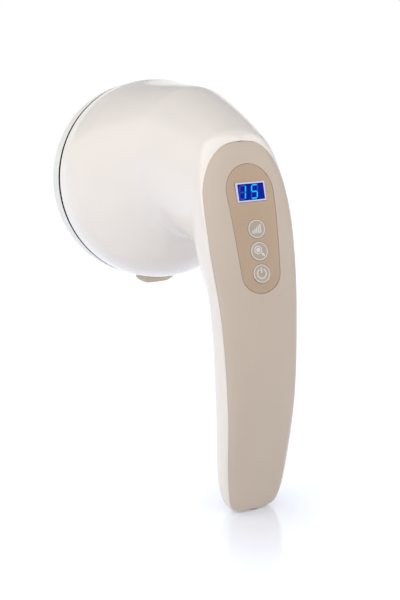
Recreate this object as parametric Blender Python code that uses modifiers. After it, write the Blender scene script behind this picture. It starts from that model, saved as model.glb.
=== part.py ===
"""Hand-held anti-cellulite massager: a ball with a turning massage head on a curved handle.

Metres, +Z up. The massage face looks towards -Y and a little down, the handle hangs behind it at +Y.
The skin of ball and handle is one loft of sections, and the shell, the grip cover and the inlay
are all taken from it, so they follow each other when a size changes.
"""
from math import asin, cos, hypot, pi, radians, sin, sqrt

import bmesh
import bpy
import numpy as np
from mathutils import Matrix, Vector

# Overall form
BALL_RADIUS = 0.0593
FACE_TILT = radians(10)
HANDLE_DEPTH = 0.1451
HANDLE_HEIGHT = 0.1575
HANDLE_HALF_WIDTH = 0.0244
SHELL_WALL = 0.0024
GAP = 0.0003
OVERRUN = 0.002

# Sections of the ball: angles of the lowest and highest point from the vertical
BALL_SECTION_ANGLES = ((20, -3), (33, 6))
# Sections of the neck: lower y and z, upper y and z, half width, all in ball radii
# each with the place of its widest line, from lower to upper, and its squareness
# They are for a handle this many ball radii deep, and move back by these shares of what it is deeper
NECK_DEPTH_SHARE = 2.4469
NECK_MOVE_SHARES = (0.00, 0.00, 0.08, 0.30, 0.55, 0.80)
NECK_SHARES = (
    (0.720, -0.694, 0.310, 0.997, 0.830, 0.530, 2.00),
    (0.819, -0.575, 0.800, 1.012, 0.645, 0.526, 2.00),
    (0.904, -0.468, 0.985, 1.003, 0.575, 0.519, 2.00),
    (1.049, -0.356, 1.355, 0.914, 0.508, 0.506, 2.05),
    (1.394, -0.332, 1.718, 0.779, 0.443, 0.506, 2.30),
    (1.660, -0.436, 1.875, 0.676, 0.424, 0.530, 2.45),
)
# Sections of the handle: y in handle depths, z in handle heights, half width in half widths
HANDLE_SHARES = (
    (0.762, -0.250, 0.829, 0.141, 1.050, 0.62, 2.60),
    (0.826, -0.340, 0.894, -0.006, 1.006, 0.62, 2.55),
    (0.829, -0.468, 0.961, -0.231, 0.942, 0.60, 2.65),
    (0.829, -0.676, 1.000, -0.538, 0.868, 0.52, 2.85),
    (0.828, -0.869, 0.961, -0.821, 0.794, 0.52, 2.75),
    (0.830, -0.949, 0.943, -0.958, 0.660, 0.52, 2.50),
    (0.854, -0.988, 0.914, -1.000, 0.460, 0.52, 2.30),
)
SKIN_COLUMNS = 24
BALL_ROWS = 2
HANDLE_ROWS = 2

# Seam and guard ring, along the spindle axis from the ball's centre
SEAM_PLANE = 0.0025
SEAM_WIDTH = 0.0012
SEAL_DEPTH = 0.0022
SEAL_INSET = 0.0007
RING_FRONT = 0.0210
RING_WALL = 0.0056
RING_TAPER = 0.0004
RING_LIP = 0.0028
SPIGOT_WALL = 0.0027
SPIGOT_DEPTH = 0.0025
HEAD_STEPS = 32
RING_STEPS = 40

# Front bulkhead
BULKHEAD_THICKNESS = 0.003
BULKHEAD_CLEARANCE = 0.0009
BEARING_BOSS_WALL = 0.0027
SCREW_INSET = 0.0063
SCREW_COUNT = 4
SCREW_RADIUS = 0.00125
SCREW_HEAD_RADIUS = 0.0026
SCREW_HEAD_HEIGHT = 0.0016
SCREW_GRIP = 0.0105
BOSS_RADIUS = 0.0034

# Massage head
DISC_CLEARANCE = 0.0011
DISC_BACK = 0.0110
DISC_EDGE_FRONT = 0.0180
DISC_CROWN = 0.0215
DISC_RIM_ROUND = 0.0022
HUB_RADIUS = 0.008
HUB_BACK = 0.0036
ROLLER_COUNT = 6
ROLLER_RADIUS_SHARE = 0.15
ROLLER_RADIUS = BALL_RADIUS * ROLLER_RADIUS_SHARE
ROLLER_RIM = 0.007
ROLLER_AXIS_HEIGHT = 0.017
PIN_RADIUS = 0.00125
PIN_GRIP = 0.0022

# Drive: what has to fit in the ball behind the bulkhead is given in ball radii
MODULE_SHARE = 1 / 60
MODULE = BALL_RADIUS * MODULE_SHARE
GEAR_TEETH = 36
PINION_TEETH = 12
GEAR_WIDTH_SHARE = 1 / 12
GEAR_WIDTH = BALL_RADIUS * GEAR_WIDTH_SHARE
GEAR_CLEARANCE = 0.0040
PINION_EXTRA = 0.0004
TOOTH_TIP_SHARE = 0.15
TOOTH_ROOT_SHARE = 0.29
ADDENDUM_SHARE = 0.80
DEDENDUM_SHARE = 1.15
SPINDLE_RADIUS = 0.004
SPINDLE_TAIL = 0.0018
BEARING_RADIUS = 0.008
BEARING_WIDTH = 0.005
MOTOR_RADIUS_SHARE = 0.2
MOTOR_RADIUS = BALL_RADIUS * MOTOR_RADIUS_SHARE
MOTOR_LENGTH_SHARE = 0.4833
MOTOR_LENGTH = BALL_RADIUS * MOTOR_LENGTH_SHARE
MOTOR_NOSE_RADIUS = 0.0035
MOTOR_NOSE = 0.0016
MOTOR_SHAFT_RADIUS = 0.001
BRACKET_THICKNESS = 0.0024
BRACKET_MARGIN = 0.0036
PILLAR_RADIUS = 0.003
PILLAR_LOWER_SHARES = (0.3917, -0.1333)
PILLAR_UPPER_SHARES = (0.2667, 0.45)
CLIP_RADIUS = 0.0062
CLIP_THICKNESS = 0.0008

# Release button in the guard ring, with its hook and spring
BUTTON_HALF_WIDTH = 0.0135
BUTTON_HALF_DEPTH = 0.0042
BUTTON_PROUD = 0.0042
BUTTON_TRAVEL = 0.002
BUTTON_SQUARENESS = 2.3
# The button's dome: shares of its height, half width and half depth
BUTTON_DOME_SHARES = (
    (0.00, 1.00, 1.00), (0.34, 0.985, 0.97), (0.64, 0.92, 0.87), (0.86, 0.79, 0.70), (1.00, 0.52, 0.42),
)
FLANGE_HALF_WIDTH = 0.0148
FLANGE_HALF_DEPTH = 0.0050
FLANGE_THICKNESS = 0.0010
FLANGE_PLAY = 0.0005
ARM_HALF_WIDTH = 0.005
ARM_THICKNESS = 0.0016
ARM_REACH = 0.0097
HOOK_BITE = 0.0012
HOOK_THICKNESS = 0.0018
SPRING_RADIUS = 0.0020
SPRING_WIRE_RADIUS = 0.0003
SPRING_TURNS = 4
SPRING_LENGTH = 0.0052
POST_HALF_WIDTH = 0.004
POST_THICKNESS = 0.0024

# Grip cover and inlay, measured along the handle's outer line from the cover's top edge
COVER_TOP = 0.0014
COVER_TOP_ROUND = 0.022
COVER_TOP_SQUARENESS = 3.0
COVER_FOOT_MARGIN = 0.0010
COVER_EDGE_SHARES = (
    (0.00, 0.93), (0.25, 0.93), (0.37, 0.875), (0.50, 0.84),
    (0.70, 0.80), (0.82, 0.75), (0.92, 0.68), (1.00, 0.62),
)
INLAY_FROM_TOP = 0.0120
INLAY_TOP_MARGIN = 0.0094
INLAY_SIDE_MARGIN = 0.0054
INLAY_FOOT_MARGIN = 0.0052
INLAY_FOOT_SIDE_MARGIN = 0.0053
INLAY_TOP_ROUND = 0.0130
INLAY_FOOT_ROUND = 0.0100
INLAY_THICKNESS = 0.0012

# Display, keys and what lies under them
DISPLAY_WIDTH = 0.0160
DISPLAY_HEIGHT = 0.0098
DISPLAY_FROM_TOP = INLAY_FROM_TOP + INLAY_TOP_MARGIN + DISPLAY_HEIGHT / 2
FRAME_WALL = 0.0008
WINDOW_THICKNESS = 0.0011
DISPLAY_BULGE = 0.0004
MODULE_WALL = 0.0006
KEY_NAMES = ("intensity", "mode", "power")
KEY_RADIUS = 0.0047
KEY_SPACING = 0.0017
KEY_DISPLAY_SPACING = 0.0090
KEY_PITCH = 2 * KEY_RADIUS + KEY_SPACING
KEY_FROM_TOP = DISPLAY_FROM_TOP + DISPLAY_HEIGHT / 2 + KEY_DISPLAY_SPACING + KEY_RADIUS
LAST_KEY_FROM_TOP = KEY_FROM_TOP + KEY_PITCH * (len(KEY_NAMES) - 1)
KEY_THICKNESS = 0.0008
KEY_PROUD = 0.0002
KEY_TRAVEL = 0.0004
KEY_ROUND = 0.0002
STEM_RADIUS = 0.0012
STEM_LENGTH = 0.0030
SWITCH_SIZE = 0.0045
BOARD_DEPTH = 0.0092
BOARD_THICKNESS = 0.0014
BOARD_WIDTH = 0.026
BOARD_ABOVE = 0.011
BOARD_MARGIN = 0.0045
BOARD_BELOW = LAST_KEY_FROM_TOP - DISPLAY_FROM_TOP + KEY_RADIUS + BOARD_MARGIN
# The inlay reaches round the display and the keys
INLAY_LENGTH = LAST_KEY_FROM_TOP + KEY_RADIUS + INLAY_FOOT_MARGIN - INLAY_FROM_TOP
INLAY_HALF_WIDTH = DISPLAY_WIDTH / 2 + INLAY_SIDE_MARGIN
INLAY_FOOT_HALF_WIDTH = KEY_RADIUS + INLAY_FOOT_SIDE_MARGIN

# Battery and charging: the cells fill the handle's width and depth
CELL_WIDTH_SHARE = 0.28
CELL_DEPTH_SHARE = 0.049
CELL_RADIUS = min(HANDLE_HALF_WIDTH * CELL_WIDTH_SHARE, HANDLE_DEPTH * CELL_DEPTH_SHARE)
CELL_LENGTH = 0.049
CELL_NUB_RADIUS = 0.0026
CELL_NUB = 0.0010
CELL_TOP_SHARE = 0.38
TRAY_FLOOR = 0.0008
TRAY_WALL = 0.0014
TRAY_HEIGHT = 0.0085
TRAY_HALF_WIDTH = 0.008
TRAY_CLEARANCE = 0.0008
GRIP_ROW = 3
SOCKET_RADIUS = 0.0028
SOCKET_BORE = 0.0018
SOCKET_LENGTH = 0.0085
SOCKET_BACK_SHARE = 0.878
CHARGE_BOARD_WIDTH = 0.012
CHARGE_BOARD_DEPTH = 0.008

COLOURS = {
    "pearl": ((0.80, 0.75, 0.68), 0.22, 0.0),
    "white": ((0.76, 0.76, 0.72), 0.38, 0.0),
    "beige": ((0.53, 0.42, 0.31), 0.45, 0.0),
    "tan": ((0.42, 0.29, 0.19), 0.40, 0.0),
    "button": ((0.60, 0.50, 0.36), 0.42, 0.0),
    "seal": ((0.05, 0.045, 0.045), 0.70, 0.0),
    "frame": ((0.62, 0.62, 0.74), 0.30, 0.0),
    "glass": ((0.01, 0.03, 0.40), 0.10, 0.0),
    "key": ((0.45, 0.33, 0.23), 0.40, 0.0),
    "nylon": ((0.72, 0.70, 0.64), 0.50, 0.0),
    "board": ((0.03, 0.18, 0.07), 0.50, 0.0),
    "dark": ((0.03, 0.03, 0.035), 0.45, 0.0),
    "steel": ((0.60, 0.60, 0.62), 0.28, 1.0),
    "zinc": ((0.50, 0.51, 0.54), 0.38, 1.0),
    "wrap": ((0.05, 0.16, 0.42), 0.35, 0.0),
}


# Scene, materials and objects

def clear_scene():
    for old in list(bpy.data.objects):
        bpy.data.objects.remove(old, do_unlink=True)


def make_collection(name):
    collection = bpy.data.collections.new(name)
    bpy.context.scene.collection.children.link(collection)
    return collection


def make_material(name, finish):
    colour, roughness, metallic = COLOURS[finish]
    material = bpy.data.materials.new(name)
    material.use_nodes = True
    shader = material.node_tree.nodes["Principled BSDF"]
    shader.inputs["Base Color"].default_value = (*colour, 1.0)
    shader.inputs["Roughness"].default_value = roughness
    shader.inputs["Metallic"].default_value = metallic
    material.diffuse_color = (*colour, 1.0)
    return material


def empty(name, parent=None, matrix=None):
    made = bpy.data.objects.new(name, None)
    made.empty_display_size = BALL_RADIUS / 6
    PARTS.objects.link(made)
    made.parent = parent
    if matrix is not None:
        made.matrix_local = matrix
    return made


def part(name, mesh, finish, parent):
    made = bpy.data.objects.new(name, mesh)
    mesh.materials.append(make_material(name, finish))
    PARTS.objects.link(made)
    made.parent = parent
    return made


def cutter(name, mesh, parent):
    made = bpy.data.objects.new(name, mesh)
    CUTTERS.objects.link(made)
    made.parent = parent
    made.display_type = "WIRE"
    made.hide_render = True
    return made


def boolean(target, operand, operation="DIFFERENCE"):
    modifier = target.modifiers.new(operand.name, "BOOLEAN")
    modifier.operation = operation
    modifier.object = operand
    modifier.solver = "EXACT"


def bevel(target, width, segments=2, angle=radians(40)):
    modifier = target.modifiers.new("rounded edges", "BEVEL")
    modifier.width = width
    modifier.segments = segments
    modifier.limit_method = "ANGLE"
    modifier.angle_limit = angle
    return modifier


def solidify(target, thickness):
    modifier = target.modifiers.new("wall", "SOLIDIFY")
    modifier.thickness = thickness
    modifier.offset = -1.0


def finish_mesh(bm, name, smooth_angle=radians(35)):
    mesh = bpy.data.meshes.new(name)
    bm.to_mesh(mesh)
    bm.free()
    mesh.shade_smooth()
    mesh.set_sharp_from_angle(angle=smooth_angle)
    return mesh


# Plain shapes

def block_mesh(name, size, centre):
    bm = bmesh.new()
    place = Matrix.Translation(centre) @ Matrix.Diagonal((*size, 1.0))
    bmesh.ops.create_cube(bm, size=1.0, matrix=place)
    return finish_mesh(bm, name)


def rod_mesh(name, radius, low, high, centre=(0, 0), sides=18):
    """A cylinder along Z from low to high."""
    bm = bmesh.new()
    place = Matrix.Translation((*centre, (low + high) / 2))
    bmesh.ops.create_cone(bm, cap_ends=True, segments=sides, radius1=radius, radius2=radius,
                          depth=high - low, matrix=place)
    return finish_mesh(bm, name)


def turned_mesh(name, profile, centre=(0, 0), steps=20):
    """The (radius, height) profile turned round Z, down its outer side and up its inner side."""
    bm = bmesh.new()
    rings = []
    for radius, height in profile:
        if radius == 0:
            rings.append([bm.verts.new((*centre, height))])
            continue
        turns = [2 * pi * step / steps for step in range(steps)]
        rings.append([bm.verts.new((centre[0] + radius * cos(turn), centre[1] + radius * sin(turn), height))
                      for turn in turns])
    pairs = list(zip(rings, rings[1:]))
    if profile[0][0] > 0:
        pairs.append((rings[-1], rings[0]))
    for upper, lower in pairs:
        for step in range(steps):
            after = (step + 1) % steps
            corners = [upper[step % len(upper)], lower[step % len(lower)],
                       lower[after % len(lower)], upper[after % len(upper)]]
            face = list(dict.fromkeys(corners))
            if len(face) > 2:
                bm.faces.new(face)
    return finish_mesh(bm, name)


def screw_profile(name, profile, finish, parent, steps=HEAD_STEPS):
    """A closed profile at +X turned round the parent's Z axis with a Screw modifier."""
    bm = bmesh.new()
    points = [bm.verts.new((radius, 0, height)) for radius, height in profile]
    for first, second in zip(points, points[1:]):
        bm.edges.new((first, second))
    if profile[0][0] > 0:
        bm.edges.new((points[-1], points[0]))
    mesh = bpy.data.meshes.new(name)
    bm.to_mesh(mesh)
    bm.free()
    made = part(name, mesh, finish, parent)
    modifier = made.modifiers.new("turned", "SCREW")
    modifier.steps = steps
    modifier.render_steps = steps
    modifier.use_merge_vertices = True
    modifier.merge_threshold = 0.00001
    modifier.use_smooth_shade = True
    return made


def outline_mesh(name, outline, low, high, holes=()):
    """A flat outline with its holes, as a 2D curve, made solid from low to high along Z."""
    curve = bpy.data.curves.new(name, "CURVE")
    curve.dimensions = "2D"
    curve.fill_mode = "BOTH"
    curve.extrude = (high - low) / 2
    for loop in (outline, *holes):
        spline = curve.splines.new("POLY")
        spline.points.add(len(loop) - 1)
        for point, (x, y) in zip(spline.points, loop):
            point.co = (x, y, 0, 1)
        spline.use_cyclic_u = True
    flat = bpy.data.objects.new(name, curve)
    bpy.context.scene.collection.objects.link(flat)
    graph = bpy.context.evaluated_depsgraph_get()
    mesh = bpy.data.meshes.new_from_object(flat.evaluated_get(graph))
    bpy.data.objects.remove(flat, do_unlink=True)
    bm = bmesh.new()
    bm.from_mesh(mesh)
    bpy.data.meshes.remove(mesh)
    bmesh.ops.remove_doubles(bm, verts=bm.verts, dist=GAP / 30)
    bmesh.ops.translate(bm, verts=bm.verts, vec=(0, 0, (low + high) / 2))
    bmesh.ops.recalc_face_normals(bm, faces=bm.faces)
    return finish_mesh(bm, name)


def circle(radius, centre=(0, 0), sides=18):
    turns = [2 * pi * side / sides for side in range(sides)]
    return [(centre[0] + radius * cos(turn), centre[1] + radius * sin(turn)) for turn in turns]


def squared_circle(half_width, half_height, squareness, sides=24):
    """A superellipse: 2 is an ellipse, more is squarer."""
    points = []
    for side in range(sides):
        turn = 2 * pi * side / sides
        x = half_width * abs(cos(turn)) ** (2 / squareness)
        y = half_height * abs(sin(turn)) ** (2 / squareness)
        points.append((x if cos(turn) > 0 else -x, y if sin(turn) > 0 else -y))
    return points


# The skin of ball and handle

def seam_radius():
    return sqrt(BALL_RADIUS ** 2 - SEAM_PLANE ** 2)


def skin_sections():
    """Lower y and z, upper y and z, half width, place of the widest line, squareness."""
    axis = np.array((-cos(FACE_TILT), -sin(FACE_TILT)))
    down = np.array((sin(FACE_TILT), -cos(FACE_TILT)))
    radius = seam_radius()
    lower = down * radius + axis * SEAM_PLANE
    upper = axis * SEAM_PLANE - down * radius
    rows = [(*lower, *upper, radius, 0.5, 2.0)]
    for low_angle, high_angle in BALL_SECTION_ANGLES:
        low, high = radians(low_angle), radians(high_angle)
        lower = np.array((BALL_RADIUS * sin(low), -BALL_RADIUS * cos(low)))
        upper = np.array((BALL_RADIUS * sin(high), BALL_RADIUS * cos(high)))
        rows.append((*lower, *upper, hypot(*(upper - lower)) / 2, 0.5, 2.0))
    deeper = HANDLE_DEPTH - NECK_DEPTH_SHARE * BALL_RADIUS
    for move, (low_y, low_z, high_y, high_z, width, place, squareness) in zip(NECK_MOVE_SHARES, NECK_SHARES):
        rows.append((low_y * BALL_RADIUS + move * deeper, low_z * BALL_RADIUS,
                     high_y * BALL_RADIUS + move * deeper, high_z * BALL_RADIUS,
                     width * BALL_RADIUS, place, squareness))
    for low_y, low_z, high_y, high_z, width, place, squareness in HANDLE_SHARES:
        rows.append((low_y * HANDLE_DEPTH, low_z * HANDLE_HEIGHT, high_y * HANDLE_DEPTH,
                     high_z * HANDLE_HEIGHT, width * HANDLE_HALF_WIDTH, place, squareness))
    return np.array(rows)


SECTIONS = skin_sections()
LAST_SECTION = len(SECTIONS) - 1


def section_at(station):
    """The section at a station, by a smooth curve through the rows (Catmull-Rom)."""
    index = min(max(int(station), 0), LAST_SECTION - 1)
    along = station - index
    here, after = SECTIONS[index], SECTIONS[index + 1]
    before = SECTIONS[index - 1] if index > 0 else 2 * here - after
    beyond = SECTIONS[index + 2] if index < LAST_SECTION - 1 else 2 * after - here
    return 0.5 * (2 * here + (after - before) * along
                  + (2 * before - 5 * here + 4 * after - beyond) * along ** 2
                  + (3 * here - before - 3 * after + beyond) * along ** 3)


def skin_point(station, turn):
    """A point of the skin. Turn 0 is the outer line of the handle, half a turn the inner line."""
    low_y, low_z, high_y, high_z, half_width, place, squareness = section_at(station)
    lower, upper = Vector((0, low_y, low_z)), Vector((0, high_y, high_z))
    middle = lower.lerp(upper, place)
    across = abs(sin(turn)) ** (2 / squareness) * (1 if sin(turn) > 0 else -1)
    along = abs(cos(turn)) ** (2 / squareness)
    point = middle.lerp(upper if cos(turn) > 0 else lower, along)
    return point + Vector((half_width * across, 0, 0))


def skin_normal(station, turn):
    step = 0.02
    ahead, behind = min(station + step, LAST_SECTION), max(station - step, 0)
    length = skin_point(ahead, turn) - skin_point(behind, turn)
    around = skin_point(station, turn + step) - skin_point(station, turn - step)
    return around.cross(length).normalized()


def outer_line():
    """Stations and the distances to them along the handle's outer line, from the ball's top."""
    stations = np.linspace(0, LAST_SECTION, 40 * LAST_SECTION + 1)
    points = np.array([skin_point(station, 0) for station in stations])
    steps = np.linalg.norm(np.diff(points, axis=0), axis=1)
    return stations, np.concatenate(([0], np.cumsum(steps)))


LINE_STATIONS, LINE_LENGTHS = outer_line()
# The cover starts where the neck's last section ends
NECK_END = len(BALL_SECTION_ANGLES) + len(NECK_SHARES)
COVER_START = float(np.interp(NECK_END, LINE_STATIONS, LINE_LENGTHS)) + COVER_TOP
COVER_LENGTH = float(LINE_LENGTHS[-1]) - COVER_START - COVER_FOOT_MARGIN


def station_from_top(distance):
    """The station at a distance down the outer line from the cover's top edge."""
    return float(np.interp(COVER_START + distance, LINE_LENGTHS, LINE_STATIONS))


def turn_across(station, x):
    """The turn at which the skin lies x beside the symmetry plane."""
    section = section_at(station)
    share = min(abs(x) / section[4], 1.0) ** (section[6] / 2)
    return asin(share) * (1 if x > 0 else -1)


def round_end(distance, length, squareness=2.0):
    """How far an outline has opened at a distance from its rounded end: 0 to 1."""
    rest = 1 - min(max(distance / length, 0.0), 1.0)
    return (1 - rest ** squareness) ** (1 / squareness)


def cover_half_width(distance):
    """Half width of the grip cover at a distance from its top edge."""
    places, shares = zip(*COVER_EDGE_SHARES)
    edge = float(np.interp(distance / COVER_LENGTH, places, shares))
    width = section_at(station_from_top(distance))[4]
    return width * edge * round_end(distance, COVER_TOP_ROUND, COVER_TOP_SQUARENESS)


def inlay_half_width(distance):
    """Half width of the inlay at a distance from its own top."""
    along = distance / INLAY_LENGTH
    side = INLAY_HALF_WIDTH + (INLAY_FOOT_HALF_WIDTH - INLAY_HALF_WIDTH) * along ** 1.3
    top = round_end(distance, INLAY_TOP_ROUND)
    foot = round_end(INLAY_LENGTH - distance, INLAY_FOOT_ROUND)
    return side * top * foot


def eased(count, start, end, ease_start=True, ease_end=True):
    """Distances from start to end, closer together at an eased end."""
    low = 0.0 if ease_start else pi / 2
    high = pi if ease_end else pi / 2
    turns = np.linspace(low, high, count)
    waves = -np.cos(turns)
    waves = (waves - waves[0]) / (waves[-1] - waves[0])
    return [start + (end - start) * float(wave) for wave in waves]


def patch_mesh(name, distances, half_widths, lift, columns=10):
    """An open piece of the skin, lifted along its normals, one row of points for each distance."""
    bm = bmesh.new()
    grid = []
    for distance, half_width in zip(distances, half_widths):
        station = station_from_top(distance)
        reach = turn_across(station, half_width)
        row = []
        for column in range(columns + 1):
            turn = reach * (2 * column / columns - 1)
            point = skin_point(station, turn) + skin_normal(station, turn) * lift
            row.append(bm.verts.new(point))
        grid.append(row)
    for upper, lower in zip(grid, grid[1:]):
        for column in range(columns):
            bm.faces.new((upper[column], upper[column + 1], lower[column + 1], lower[column]))
    bmesh.ops.recalc_face_normals(bm, faces=bm.faces)
    bm.faces.ensure_lookup_table()
    middle = bm.faces[len(bm.faces) // 2]
    outward = skin_normal(station_from_top(distances[len(distances) // 2]), 0)
    if middle.normal.dot(outward) < 0:
        bmesh.ops.reverse_faces(bm, faces=bm.faces)
    return finish_mesh(bm, name)


def cover_patch(name, margin, lift):
    """The grip cover's patch of skin, widened all round by margin."""
    tip = COVER_TOP_ROUND / 100
    distances = eased(9, tip, COVER_TOP_ROUND, ease_end=False)[:-1]
    distances += eased(12, COVER_TOP_ROUND, COVER_LENGTH, ease_start=False)
    widths = [cover_half_width(distance) + margin for distance in distances]
    distances = [distance - margin for distance in distances]
    distances[-1] += 2 * margin
    return patch_mesh(name, distances, widths, lift, columns=10)


def inlay_patch(name, margin, lift):
    """The inlay's patch of skin, widened all round by margin."""
    tip = INLAY_FOOT_ROUND / 60
    own = eased(13, tip, INLAY_LENGTH - tip)
    widths = [inlay_half_width(distance) + margin for distance in own]
    own = [distance + margin * (1 if distance > INLAY_LENGTH / 2 else -1) for distance in own]
    return patch_mesh(name, [INLAY_FROM_TOP + distance for distance in own], widths, lift, columns=6)


# Frames that carry the pieces

def head_matrix():
    """Z along the spindle, out of the massage face, and Y up the face."""
    return Matrix.Rotation(pi / 2 + FACE_TILT, 4, "X")


def panel_matrix():
    """Z out of the control panel, Y up along it and X to the user's right."""
    centre = skin_point(station_from_top(DISPLAY_FROM_TOP), 0)
    last_key = skin_point(station_from_top(LAST_KEY_FROM_TOP), 0)
    up = (centre - last_key).normalized()
    right = Vector((-1, 0, 0))
    out = right.cross(up)
    turn = Matrix((right, up, out)).transposed().to_4x4()
    return Matrix.Translation(centre) @ turn


def panel_place(distance):
    """Where the outer line lies in the panel's frame, at a distance from the cover's top."""
    return panel_matrix().inverted() @ skin_point(station_from_top(distance), 0)


# Shell, cover and inlay

def body_skin_mesh(name, sink=0, closed=False):
    """The whole skin, closed at the handle's end, and at the seam too if closed."""
    stations = [step / BALL_ROWS for step in range(BALL_ROWS * len(BALL_SECTION_ANGLES))]
    start = len(BALL_SECTION_ANGLES)
    stations += [start + step / HANDLE_ROWS for step in range(HANDLE_ROWS * (LAST_SECTION - start) + 1)]
    bm = bmesh.new()
    rings = []
    for station in stations:
        turns = [2 * pi * column / SKIN_COLUMNS for column in range(SKIN_COLUMNS)]
        rings.append([bm.verts.new(skin_point(station, turn) - skin_normal(station, turn) * sink)
                      for turn in turns])
    for first, second in zip(rings, rings[1:]):
        for column in range(SKIN_COLUMNS):
            after = (column + 1) % SKIN_COLUMNS
            bm.faces.new((first[column], first[after], second[after], second[column]))
    bm.faces.new(rings[-1])
    if closed:
        bm.faces.new(rings[0])
    bmesh.ops.recalc_face_normals(bm, faces=bm.faces)
    return finish_mesh(bm, name)


def boss_places():
    """Centres of the bulkhead's screws in the head's frame."""
    turns = [2 * pi * (index + 0.5) / SCREW_COUNT for index in range(SCREW_COUNT)]
    return [(SCREW_CIRCLE * cos(turn), SCREW_CIRCLE * sin(turn)) for turn in turns]


def build_body_shell(head):
    body = part("body_shell", body_skin_mesh("body_shell"), "pearl", ROOT)
    solidify(body, SHELL_WALL)
    recess = cutter("cover_opening", cover_patch("cover_opening", GAP, OVERRUN / 2), ROOT)
    solidify(recess, OVERRUN + SHELL_WALL)
    boolean(body, recess)
    inside = cutter("shell_middle", body_skin_mesh("shell_middle", SHELL_WALL / 2, True), ROOT)
    for index, place in enumerate(boss_places(), 1):
        name = f"screw_boss_{index}"
        boss = cutter(name, rod_mesh(name, BOSS_RADIUS, -BALL_RADIUS, BULKHEAD_BACK - GAP, place, 16), head)
        boolean(boss, inside, "INTERSECT")
        boolean(body, boss, "UNION")
        name = f"screw_hole_{index}"
        depth = BULKHEAD_FRONT - SCREW_GRIP - SHELL_WALL
        hole = rod_mesh(name, SCREW_RADIUS + GAP, depth, BULKHEAD_FRONT, place, 12)
        boolean(body, cutter(name, hole, head))
    inlet = cutter("charge_inlet", rod_mesh("charge_inlet", SOCKET_RADIUS + GAP, -OVERRUN, SOCKET_LENGTH), ROOT)
    inlet.location = socket_place() - Vector((0, 0, OVERRUN))
    boolean(body, inlet)


def build_grip_cover(panel):
    cover = part("grip_cover", cover_patch("grip_cover", 0, 0), "beige", ROOT)
    solidify(cover, SHELL_WALL)
    recess = cutter("inlay_recess", inlay_patch("inlay_recess", GAP, OVERRUN), ROOT)
    solidify(recess, OVERRUN + INLAY_THICKNESS + GAP)
    boolean(cover, recess)
    centre = panel_place(DISPLAY_FROM_TOP)
    size = (DISPLAY_WIDTH + 2 * GAP, DISPLAY_HEIGHT + 2 * GAP, 2 * SHELL_WALL + 2 * OVERRUN)
    boolean(cover, cutter("display_opening", block_mesh("display_opening", size, centre), panel))
    for index, key in enumerate(KEY_NAMES):
        place = panel_place(KEY_FROM_TOP + KEY_PITCH * index)
        name = f"{key}_stem_hole"
        reach = SHELL_WALL + OVERRUN
        hole = rod_mesh(name, STEM_RADIUS + GAP, place.z - reach, place.z + reach, place.xy, 16)
        boolean(cover, cutter(name, hole, panel))


def build_control_panel(panel):
    inlay = part("control_panel", inlay_patch("control_panel", 0, 0), "tan", ROOT)
    solidify(inlay, INLAY_THICKNESS)
    reach = INLAY_THICKNESS + OVERRUN
    centre = panel_place(DISPLAY_FROM_TOP)
    size = (DISPLAY_WIDTH + 2 * GAP, DISPLAY_HEIGHT + 2 * GAP, 2 * reach)
    boolean(inlay, cutter("display_window_hole", block_mesh("display_window_hole", size, centre), panel))
    for index, key in enumerate(KEY_NAMES):
        place = panel_place(KEY_FROM_TOP + KEY_PITCH * index)
        name = f"{key}_key_hole"
        hole = rod_mesh(name, KEY_RADIUS + GAP, place.z - reach, place.z + reach, place.xy, 24)
        boolean(inlay, cutter(name, hole, panel))


# Display and keys

def build_display(panel):
    front = DISPLAY_BULGE
    back = front - WINDOW_THICKNESS
    opening = (DISPLAY_WIDTH - 2 * FRAME_WALL, DISPLAY_HEIGHT - 2 * FRAME_WALL)
    frame = part("display_frame", block_mesh("display_frame", (DISPLAY_WIDTH, DISPLAY_HEIGHT, front - back),
                                             (0, 0, (front + back) / 2)), "frame", panel)
    hole = block_mesh("frame_hole", (*opening, 4 * WINDOW_THICKNESS), (0, 0, 0))
    boolean(frame, cutter("frame_hole", hole, panel))
    glass = (opening[0] - 2 * GAP, opening[1] - 2 * GAP, WINDOW_THICKNESS)
    part("display_window", block_mesh("display_window", glass, (0, 0, (front + back) / 2)), "glass", panel)
    top = back - GAP
    bottom = GAP - BOARD_DEPTH
    size = (DISPLAY_WIDTH - 2 * MODULE_WALL, DISPLAY_HEIGHT - 2 * MODULE_WALL, top - bottom)
    part("display_module", block_mesh("display_module", size, (0, 0, (top + bottom) / 2)), "dark", panel)


def build_keys(panel):
    for index, key in enumerate(KEY_NAMES):
        place = panel_place(KEY_FROM_TOP + KEY_PITCH * index)
        top = place.z + KEY_PROUD
        seat = top - KEY_THICKNESS
        foot = seat - STEM_LENGTH
        profile = ((0, top), (KEY_RADIUS - KEY_ROUND, top), (KEY_RADIUS, top - KEY_ROUND), (KEY_RADIUS, seat),
                   (STEM_RADIUS, seat), (STEM_RADIUS, foot), (0, foot))
        carrier = empty(f"{key}_key_axis", panel, Matrix.Translation((*place.xy, 0)))
        screw_profile(f"{key}_key", profile, "key", carrier, steps=18)
        high = foot - KEY_TRAVEL - GAP
        low = GAP - BOARD_DEPTH
        size = (SWITCH_SIZE, SWITCH_SIZE, high - low)
        part(f"{key}_switch", block_mesh(f"{key}_switch", size, (0, 0, (high + low) / 2)), "dark", carrier)


def build_control_board(panel):
    length = BOARD_ABOVE + BOARD_BELOW
    centre = (0, (BOARD_ABOVE - BOARD_BELOW) / 2, -BOARD_DEPTH - BOARD_THICKNESS / 2)
    board = part("control_board", block_mesh("control_board", (BOARD_WIDTH, length, BOARD_THICKNESS), centre),
                 "board", panel)
    bevel(board, BOARD_THICKNESS / 5, 1)


# Guard ring, seal and bulkhead

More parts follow.
